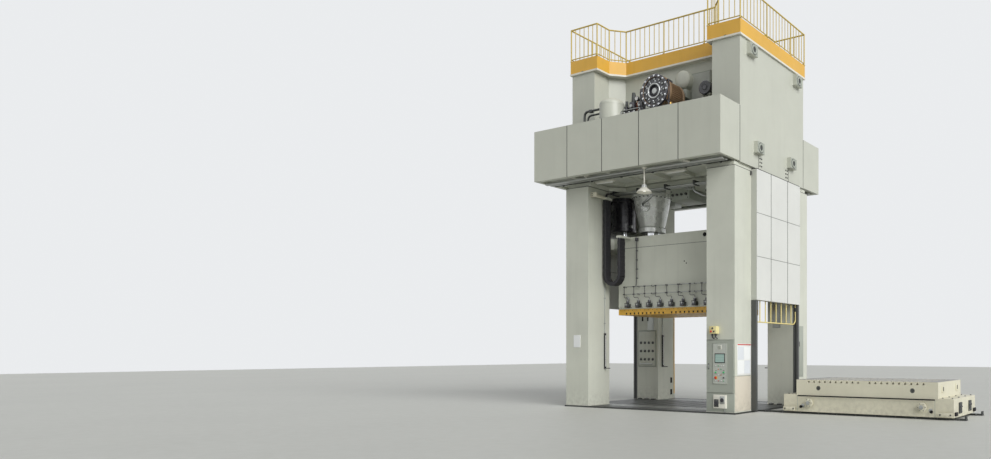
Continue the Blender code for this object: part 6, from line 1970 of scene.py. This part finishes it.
class Cabinet(Fittings):
    """The control cabinet: its door, operator panel, lamps, buttons, sockets and boxes."""

    def build(self) -> None:
        """Makes the cabinet's fittings."""
        self.column, self.door = Span("column_front_right"), Span("cabinet_door")
        self.operator, self.screen = Span("operator_panel"), Span("touch_screen")
        self.surround()
        self.door_hardware()
        self.hinges()
        self.panel()
        self.rims()
        self.caps()
        self.selector()
        self.sockets()
        self.junction()
        self.inside()

    def surround(self) -> None:
        """Makes the fixed grey panel below and round the door."""
        column, door = self.column, self.door
        near, far = column.low.y - 0.006, column.low.y + 0.004
        x0, x1 = column.low.x + 0.002, column.high.x - 0.002
        made = self.piece("cabinet_surround", "cabinet_enamel")
        made.box((x0 + 0.002, near, column.low.z + 0.01), (x1 - 0.002, far, door.low.z - 0.006), bevel=0.003)
        for a, b in ((x0, door.low.x - 0.004), (door.high.x + 0.004, x1)):
            made.box((a, near, door.low.z - 0.004), (b, far, door.high.z + 0.02), bevel=0.002)
        made.box((x0, near - 0.006, door.high.z + 0.006), (x1, far, door.high.z + 0.022))
        made.done(slot="cabinet_paint")

    def door_hardware(self) -> None:
        """Makes the door's lock and the screws above and below it."""
        door, front = self.door, self.door.low.y
        x, z = door.low.x + 0.065, door.mid.z
        made = self.piece("door_hardware", "black_enamel", Body.DOOR)
        made.block((x, front - 0.002, z), (0.016, 0.004, 0.075))
        made.box(
            (x - 0.010, front - 0.018, z - 0.060), (x + 0.010, front - 0.004, z + 0.035), "machined_steel",
        )
        made.post((x, front - 0.004, z + 0.052), FRONT, 0.008, 0.010, "machined_steel")
        for height in (door.low.z + 0.12, door.high.z - 0.12):
            made.post((x, front - 0.002, height), FRONT, 0.008, 0.012, "machined_steel")
        made.done(slot="black_paint")

    def hinges(self) -> None:
        """Makes the door's three hinge pins."""
        door, made = self.door, self.piece("door_hinges", "machined_steel", Body.DOOR)
        for z in along(door.low.z + 0.15, door.high.z - 0.15, 3):
            made.post((door.high.x - 0.006, door.low.y - 0.001, z - 0.04), UP, 0.08, 0.006, "", 12)
        made.done(slot="ground_steel")

    def panel(self) -> None:
        """Makes the operator panel's rim, screen bezel, camera plate, lamps and screws."""
        low, high, face = self.operator.low, self.operator.high, self.operator.low.y
        x0, x1, z0, z1 = low.x, high.x, low.z, high.z
        middle = self.operator.mid.x
        made = self.piece("panel_lamps", "cabinet_enamel", Body.DOOR)
        width = 0.012
        for a, b in (
            ((x0, z0), (x1, z0 + width)),
            ((x0, z1 - width), (x1, z1)),
            ((x0, z0), (x0 + width, z1)),
            ((x1 - width, z0), (x1, z1)),
        ):
            made.box((a[0], face - 0.004, a[1]), (b[0], face + 0.002, b[1]), bevel=0.002)
        near, far = face - 0.006, face + 0.001
        a, b, screen = self.screen.low, self.screen.high, ("dark_steel", 0.004)
        for z in (a.z - 0.025, b.z):
            made.box((a.x - 0.025, near, z), (b.x + 0.025, far, z + 0.025), *screen)
        for x in (a.x - 0.025, b.x):
            made.box((x, near, a.z - 0.02), (x + 0.025, far, b.z + 0.02), *screen)
        made.box((middle - 0.055, face - 0.008, 1.655), (middle + 0.055, far, 1.765), "cream_enamel")
        made.box(
            (middle - 0.043, face - 0.0095, 1.667),
            (middle + 0.043, face - 0.004, 1.753),
            "cabinet_enamel", 0.003,
        )
        collar = [(0.019, -0.001), (0.019, 0.006), (0.0155, 0.009)]
        for z, lamps in LAMP_ROWS.items():
            for dx, colour in lamps.items():
                place = (middle + dx, face, z)
                made.lathe(place, FRONT, collar, "machined_steel", 20)
                made.post(place, FRONT, 0.014, 0.0135, colour + "_plastic", 18, 0.85, 0.002)
        places = grid((x0 + 0.02, x1 - 0.02), (z0 + 0.02, 1.30, z1 - 0.02))
        made.screws([(x, face - 0.004, z) for x, z in places], FRONT, 0.005)
        made.done(slot="cabinet_paint")

    def rims(self) -> None:
        """Makes the rims round the buttons and the selector, and the start buttons' blank labels."""
        face = self.operator.low.y
        made = self.piece("button_rims", "machined_steel", Body.DOOR)
        starts = each("start_button")
        for node, radius in (*((node, 0.0275) for node in starts), ("selector_switch", 0.0285)):
            x, _, z = Span(node).mid
            rim = [(radius, 0.0), (radius, 0.0035), (radius - 0.003, 0.0045)]
            made.lathe((x, face + 0.0005, z), FRONT, rim, sides=28)
        x, _, z = Span("stop_button").mid
        made.lathe(
            (x, face + 0.0005, z), FRONT, [(0.045, 0.0), (0.045, 0.003), (0.043, 0.004)], "yellow_enamel", 36,
        )
        for node, dz in grid(starts, (-0.042, 0.042)):
            x, _, z = Span(node).mid
            made.block((x, face - 0.0005, z + dz), (0.022, 0.0015, 0.006), "black_enamel", 0.001)
        made.done(slot="ground_steel")

    def caps(self) -> None:
        """Makes the rounded caps of the start buttons and the stop button."""
        neck = [(0.010, -0.0093), (0.010, 0.0)]
        start = [*neck, (0.0218, 0.0), (0.022, 0.003)]
        stop = [*neck, (0.021, 0.0), (0.021, 0.008), (0.030, 0.012), (0.032, 0.017)]
        for node, body, colour, profile, crown, sides in (
            ("start_button_left", Body.START_LEFT, "green_plastic", start, (0.022, 0.0195), 32),
            ("start_button_right", Body.START_RIGHT, "green_plastic", start, (0.022, 0.0195), 32),
            ("stop_button", Body.STOP, "red_plastic", stop, (0.031, 0.024), 36),
        ):
            cap = Span(node)
            depth = cap.size.y - 0.0093
            edge = 0.005 if node == "stop_button" else 0.004
            top = [(crown[0], depth - edge), (crown[1], depth - 0.0008)]
            if node != "stop_button":
                top.append((0.012, depth - 0.0015))
            made = self.piece(node + "_cap", colour, body)
            made.lathe((cap.mid.x, cap.low.y + depth, cap.mid.z), FRONT, profile + top, sides=sides)
            made.done((node,), colour)

    def selector(self) -> None:
        """Makes the selector's knob and its pointer."""
        knob = Span("selector_switch")
        x, z, front, back = knob.mid.x, knob.mid.z, knob.low.y, knob.high.y
        made = self.piece("selector_knob", "black_enamel", Body.SELECTOR)
        made.lathe(
            (x, back, z), FRONT, [(0.0215, 0.0), (0.022, 0.002), (0.0205, 0.013), (0.018, 0.015)], sides=32,
        )
        made.box((x - 0.006, front, z - 0.0195), (x + 0.006, back - 0.010, z + 0.0195), bevel=0.003)
        made.box((x - 0.0012, front, z + 0.004), (x + 0.0012, back - 0.012, z + 0.0197), "white_plastic", 0.0)
        made.done(("selector_switch",), "black_paint")

    def sockets(self) -> None:
        """Makes the two sockets in the box near the floor."""
        box = Span("socket_box")
        low, high, face = box.low, box.high, box.low.y - 0.006
        made = self.piece("sockets", "cream_enamel")
        made.box((low.x + 0.008, face, low.z + 0.008), (high.x - 0.008, face + 0.007, high.z - 0.008))
        shell = [(0.052, 0.0), (0.052, 0.016), (0.045, 0.020), (0.040, 0.008)]
        for dx, dz, finish in ((-0.09, -0.04, "dark_steel"), (0.09, 0.04, "machined_steel")):
            x, z = box.mid.x + dx, box.mid.z + dz
            made.box((x - 0.07, face - 0.012, z - 0.10), (x + 0.07, face + 0.002, z + 0.10), finish, 0.008)
            made.lathe((x, face - 0.012, z), FRONT, shell, "black_enamel", 30)
            for place in ring((x, face - 0.0205, z), FRONT, 0.022, 3, math.pi / 2):
                made.post(place, FRONT, 0.003, 0.006, "hole_black", 12)
        self.lid_screws(made, box, 0.022, face)
        route = [(high.x - 0.05, box.low.y + 0.03, z) for z in (low.z + 0.005, 0.045)]
        made.pipe(route, 0.014, "machined_steel")
        made.done(slot="pale_paint")

    @staticmethod
    def lid_screws(made: Piece, box: Span, inset: float, face: float) -> None:
        """Adds a screw at each corner of a box's lid, inset from its edges, on its face."""
        places = grid((box.low.x + inset, box.high.x - inset), (box.low.z + inset, box.high.z - inset))
        made.screws([(x, face, z) for x, z in places], FRONT, 0.007)

    def junction(self) -> None:
        """Makes the junction box's lid, key switch, buttons and conduits."""
        box = Span("junction_box")
        low, high, front = box.low, box.high, box.low.y
        made = self.piece("junction_fittings", "box_enamel")
        lid = ((low.x - 0.004, front - 0.010, low.z - 0.004), (high.x + 0.004, front + 0.004, high.z + 0.004))
        made.box(*lid, bevel=0.005)
        self.lid_screws(made, box, 0.02, front - 0.010)
        for dx, dz, finish, r in (
            (0.0, 0.042, "black_enamel", 0.020),
            (-0.045, -0.040, "red_plastic", 0.022),
            (0.045, -0.040, "black_enamel", 0.018),
        ):
            profile = [(r + 0.006, 0.0), (r + 0.006, 0.004), (r, 0.005), (r, 0.022), (r * 0.85, 0.026)]
            made.lathe((box.mid.x + dx, front - 0.010, box.mid.z + dz), FRONT, profile, finish, 26)
        y = front + 0.06
        for x in (box.mid.x - 0.05, box.mid.x + 0.05):
            made.rod((x, y, low.z + 0.001), (x, y, low.z - 0.07), 0.032, "black_enamel", 18, 0.8)
            route = [(x, y, low.z - 0.03), (x, y, low.z - 0.09), (x, self.column.low.y + 0.01, low.z - 0.13)]
            made.pipe(route, 0.016, "black_enamel", 0.05)
        made.done(slot="guard_paint")

    def inside(self) -> None:
        """Makes the mounting plate, the rows of switches and the trunking behind the door."""
        low, high, back = self.door.low.z, self.door.high.z, self.column.low.y + 0.40
        x0, x1 = self.column.low.x + 0.062, self.column.high.x - 0.062
        made = self.piece("cabinet_inside", "cream_enamel")
        made.box((x0, back, low + 0.02), (x1, back + 0.02, high - 0.02), bevel=0.003)
        for row, z in enumerate(along(low + 0.22, high - 0.22, 5)):
            rail = ((x0 + 0.05, back - 0.012, z - 0.018), (x1 - 0.05, back + 0.002, z + 0.018))
            made.box(*rail, "machined_steel", 0.002)
            for k, x in enumerate(along(x0 + 0.10, x1 - 0.10, 9)):
                finish = ("black_enamel", "cabinet_enamel", "white_plastic")[(row * 2 + k) % 3]
                tall = 0.045 + 0.015 * ((k + row) % 3)
                made.box((x - 0.026, back - 0.075, z - tall), (x + 0.026, back - 0.008, z + tall), finish)
        for z in along(low + 0.10, high - 0.10, 6):
            duct = ((x0 + 0.03, back - 0.045, z - 0.02), (x1 - 0.03, back + 0.001, z + 0.02))
            made.box(*duct, "cabinet_enamel", 0.003)
        made.done(slot="pale_paint")


class ColumnFittings(Fittings):
    """The columns' boards, panels, light curtains, slots, conduits and feet."""

    def build(self) -> None:
        """Makes the fittings on the four columns."""
        self.column = Span("column_front_right")
        self.face = self.column.high.x
        self.curtains()
        self.cover_plate()
        self.notice_board()
        self.back_panel()
        self.hydraulics_panel()
        self.notice_plate()
        self.back_trays()
        self.feet()

    def curtains(self) -> None:
        """Makes the light curtains' windows, arms, end caps and conduits."""
        made = self.piece("curtain_windows", "black_enamel")
        for node in each("light_curtain", CORNERS):
            post, side = Span(node), -1 if node.endswith("left") else 1
            low, high, y = post.low, post.high, post.mid.y
            inner, outer = (high.x, low.x) if side < 0 else (low.x, high.x)
            window = (
                (inner + side * 0.004, y - 0.011, low.z + 0.05),
                (inner - side * 0.0035, y + 0.011, high.z - 0.05),
            )
            made.box(*window, "white_plastic", 0.001)
            arm = ((inner, y - 0.012, low.z - 0.012), (inner - side * 0.17, y + 0.012, low.z + 0.012))
            made.box(*arm, bevel=0.003)
            for z0, z1 in ((low.z - 0.012, low.z + 0.03), (high.z - 0.03, high.z + 0.012)):
                made.box((low.x, low.y - 0.003, z0), (high.x, high.y + 0.003, z1))
            x = outer - side * 0.018
            made.pipe([(x, y, high.z), (x, y, 5.6)], 0.012, "machined_steel", sides=1)
            for z in along(high.z + 0.3, 5.4, 5):
                clip = (
                    (outer + side * 0.002, y - 0.03, z - 0.012), (outer - side * 0.032, y + 0.03, z + 0.012),
                )
                made.box(*clip, "machined_steel", 0.002)
        made.done(slot="black_paint")

    def cover_plate(self) -> None:
        """Makes the beige plate and its hem at the foot of the front right column's right face."""
        face, y0, y1 = self.face, self.column.low.y + 0.012, Span("side_cover_right").low.y - 0.02
        made = self.piece("column_cover_plate", "cream_enamel")
        made.box((face - 0.003, y0, self.column.low.z + 0.03), (face + 0.010, y1, 0.965), "beige_enamel")
        places = grid((y0 + 0.03, y1 - 0.03), (0.12, 0.52, 0.92))
        made.bolts([(face + 0.010, y, z) for y, z in places], (1, 0, 0), 0.008, "machined_steel", False)
        made.box(
            (face - 0.002, y0 + 0.003, 0.972), (face + 0.014, y1 - 0.003, 0.977), "machine_enamel", 0.001,
        )
        made.done(slot="pale_paint")

    def notice_board(self) -> None:
        """Makes the board with four blank sheets above the beige plate."""
        face, y0, y1 = self.face, self.column.low.y + 0.012, Span("side_cover_right").low.y - 0.02
        made = self.piece("notice_board", "white_plastic")
        high = 1.80
        made.box((face - 0.001, y0 + 0.10, 0.985), (face + 0.012, y1 + 0.005, high))
        made.box(
            (face + 0.011, y0 + 0.11, high - 0.035),
            (face + 0.016, y1 - 0.005, high - 0.008),
            "red_plastic", 0.002,
        )
        step = (y1 - y0 - 0.14) / 2
        for k, j in grid((0, 1), (0, 1)):
            y, z = y0 + 0.12 + k * step, high - 0.05 - (j + 1) * 0.36
            sheet = ((face + 0.0115, y, z), (face + 0.0135, y + step - 0.02, z + 0.34))
            made.box(*sheet, "paper" if (k + j) % 2 else "blue_paper", 0.0)
        made.done(slot="white_paint")

    def back_panel(self) -> None:
        """Makes the grey panel on the back right column's right face."""
        face = self.face
        made = self.piece("column_back_panel", "cabinet_enamel")
        for near, y0, z0, far, y1, z1, finish, bevel in (
            (-0.003, 1.47, 0.85, 0.012, 1.81, 2.36, "", 0.004),
            (0.010, 1.50, 0.88, 0.016, 1.78, 2.33, "", 0.003),
            (0.015, 1.515, 1.75, 0.03, 1.535, 1.90, "black_enamel", 0.003),
            (-0.003, 1.40, 0.95, 0.012, 1.46, 1.20, "dark_steel", 0.003),
        ):
            made.box((face + near, y0, z0), (face + far, y1, z1), finish, bevel)
        made.done(slot="cabinet_paint")

    def hydraulics_panel(self) -> None:
        """Makes the panel, the slots and the edge strip on the back left column."""
        column = Span("column_back_left")
        face, edge, back = column.low.y, column.high.x, column.high.y
        x0, x1 = column.low.x + 0.06, edge - 0.07
        made = self.piece("hydraulics_panel", "cabinet_enamel")
        made.box((x0, face - 0.02, 1.10), (x1, face + 0.003, 2.30), bevel=0.006)
        made.box((x0 + 0.03, face - 0.028, 1.14), (x1 - 0.03, face - 0.018, 2.26), "machine_enamel", 0.005)
        gauge = [(0.045, 0.0), (0.045, 0.012), (0.035, 0.018)]
        for x, z in grid(along(x0 + 0.12, x1 - 0.12, 4), (1.35, 1.62, 1.89)):
            made.lathe((x, face - 0.028, z), FRONT, gauge, "dark_steel", 20)
        made.rod((x0 + 0.1, face - 0.06, 1.2), (x1 - 0.1, face - 0.06, 1.2), 0.016, "machined_steel", 12)
        for x in (x0 + 0.12, x1 - 0.12):
            made.post((x, face - 0.06, 1.2), BACK, 0.04, 0.012, "machined_steel", 12)
        for x in (x0 + 0.16, x0 + 0.38):
            # Slots drawn as painted shade.
            made.box((x - 0.03, face - 0.004, 2.60), (x + 0.03, face + 0.003, 3.10), "hole_black", 0.003)
        made.box(
            (edge - 0.002, back - 0.055, 0.20), (edge + 0.006, back - 0.006, 3.40), "yellow_enamel", 0.002,
        )
        for z in (0.17, 0.56):
            # Openings drawn as painted shade.
            made.box((edge - 0.002, 1.84, z), (edge + 0.0015, 1.94, z + 0.18), "hole_black", 0.0)
        made.done(slot="cabinet_paint")

    def notice_plate(self) -> None:
        """Makes the blank notice on the front left column's front."""
        column = Span("column_front_left")
        x, y = column.high.x - 0.30, column.low.y
        made = self.piece("notice_plate", "white_plastic")
        made.box((x - 0.26, y - 0.008, 1.72), (x, y + 0.002, 2.08), bevel=0.003)
        made.box((x - 0.25, y - 0.0095, 1.73), (x - 0.01, y - 0.006, 2.07), "paper", 0.0)
        places = grid((x - 0.005, x - 0.255), (1.725, 2.075))
        made.screws([(a, y - 0.008, b) for a, b in places], FRONT, 0.004)
        made.done(slot="white_paint")

    def back_trays(self) -> None:
        """Makes the doors, cable trays and pipes on the backs of the columns."""
        made = self.piece("back_trays", "silver_enamel")
        for column in map(Span, each("column_back")):
            x0, x1, y, top = column.low.x, column.high.x, column.high.y, column.high.z
            for a, z0, b, z1, near, far, finish, bevel in (
                (x0 + 0.30, 2.2, x0 + 0.50, top - 0.1, -0.003, 0.055, "", 0.006),
                *((x0 + 0.27, z - 0.015, x0 + 0.53, z + 0.015, -0.003, 0.062, "dark_steel", 0.003)
                  for z in along(2.6, top - 0.4, 6)),
                (x0 + 0.10, 0.55, x1 - 0.10, 1.95, -0.003, 0.018, "cabinet_enamel", 0.006),
                (x0 + 0.13, 0.58, x1 - 0.13, 1.92, 0.016, 0.024, "machine_enamel", 0.004),
                (x1 - 0.20, 1.18, x1 - 0.17, 1.32, 0.022, 0.045, "black_enamel", 0.004),
            ):
                made.box((a, y + near, z0), (b, y + far, z1), finish, bevel)
            for z in (0.70, 1.70):
                made.post((x0 + 0.125, y + 0.024, z), UP, 0.1, 0.01, "machined_steel", 12)
            for x in (x0 + 0.62, x0 + 0.70):
                made.rod((x, y + 0.028, 2.1), (x, y + 0.028, top - 0.08), 0.022, "machined_steel", 14)
                for z in along(2.4, top - 0.5, 5):
                    made.box(
                        (x - 0.035, y - 0.003, z - 0.015),
                        (x + 0.035, y + 0.052, z + 0.015),
                        "dark_steel", 0.003,
                    )
        made.done(slot="machine_paint")

    def feet(self) -> None:
        """Makes the weld beads and anchors at the columns' feet, and dark bands at their tops and round the
        crown's seat, painted as the shade of the gaps there.
        """
        made = self.piece("column_feet", "machine_enamel")
        floor = Span("bed_plate").high.z
        for node in each("column", CORNERS):
            low, high = Span(node).low, Span(node).high
            corners = [(low.x, low.y), (high.x, low.y), (high.x, high.y), (low.x, high.y)]
            for start, end in zip(corners, corners[1:] + corners[:1]):
                made.rod(at(start, floor + 0.006), at(end, floor + 0.006), 0.010, sides=8)
                made.rod(at(start, floor), at(start, floor + 0.02), 0.012, sides=8)
            # Painted shade: a dark band stands for the shadowed gap at the column's top.
            joint = (
                (low.x - 0.001, low.y - 0.001, high.z - 0.014),
                (high.x + 0.001, high.y + 0.001, high.z - 0.0005),
            )
            made.box(*joint, "dark_steel", 0.0)
            y, out = (high.y, 1) if "front" in node else (low.y, -1)
            for x in along(low.x + 0.15, high.x - 0.15, 3):
                anchor = ((x - 0.06, y - 0.002 * out, floor), (x + 0.06, y + 0.10 * out, floor + 0.03))
                made.box(*anchor, "dark_steel", 0.005)
                made.bolts([(x, y + 0.055 * out, floor + 0.03)], UP, 0.022, "machined_steel")
        seat, crown = Span("crown_bottom_plate").high.z, Span("crown")
        inner, outer = self.column.low.x, crown.high.x - LUG_DEPTH + 0.001
        waist = CROWN_WAIST_HALF + 0.001
        # Painted shade: dark bands stand for the shadowed gap between the crown and its bottom plate.
        for x0, x1, y0, y1 in (
            (-outer, -inner, crown.low.y - 0.001, crown.high.y + 0.001),
            (inner, outer, crown.low.y - 0.001, crown.high.y + 0.001),
            (-inner, inner, -waist, waist),
        ):
            made.box((x0, y0, seat + 0.0005), (x1, y1, seat + 0.012), "dark_steel", 0.0)
        made.done(slot="machine_paint")


class WorkLamp(Fittings):
    """The lamp that hangs from the deck's front beam."""

    def build(self) -> None:
        """Makes the lamp's canopy, stem, ribbed housing and reflector."""
        lamp = Span("work_lamp")
        mid, top, low, radius = lamp.mid, lamp.high.z, lamp.low.z, lamp.size.x / 2
        made = self.piece("hanging_lamp", "cream_enamel")
        made.lathe(at(mid, top), DOWN, [(0.07, 0.0), (0.07, 0.014), (0.03, 0.03), (0.02, 0.035)], sides=28)
        made.rod(at(mid, top - 0.03), at(mid, low + 0.22), 0.0185)
        housing = [(0.035, 0.0), (0.06, 0.012), (0.06, 0.085), (0.05, 0.09)]
        made.lathe(at(mid, low + 0.215), DOWN, housing, "silver_enamel", 32)
        for turn in spokes(at(mid, 0), "Z", 12):
            made.box(
                (0.055, -0.003, low + 0.135), (0.068, 0.003, low + 0.205), "silver_enamel", 0.001, turn, 1,
            )
        shade = [(0.055, 0.135), (0.075, 0.13), (0.12, 0.10), (0.17, 0.055), (radius - 0.006, 0.006)]
        shade += [(radius, 0.0), (radius - 0.008, 0.0), (0.165, 0.045), (0.115, 0.088), (0.07, 0.115)]
        shade += [(0.045, 0.12)]
        made.lathe(at(mid, low), UP, shade, sides=44)
        made.ball(at(mid, low + 0.075), 0.055, "lamp_glass", (1, 1, 0.8))
        made.done(("work_lamp",), "white_paint")


BUILDERS = (
    *(Handrail, CrownFittings, DeckFittings, DeckMachinery, Cylinders, SlideFittings, SideCovers),
    *(BolsterFittings, Cabinet, ColumnFittings, WorkLamp),
)


def main() -> None:
    """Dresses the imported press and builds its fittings, in order."""
    logging.basicConfig(level=logging.INFO, format="%(name)s: %(message)s")
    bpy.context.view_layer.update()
    paints = Paintbox()
    Studio(paints).build()
    dress(paints)
    for builder in BUILDERS:
        LOG.info("building %s", builder.__name__)
        builder(paints).build()


if __name__ == "__main__":
    main()
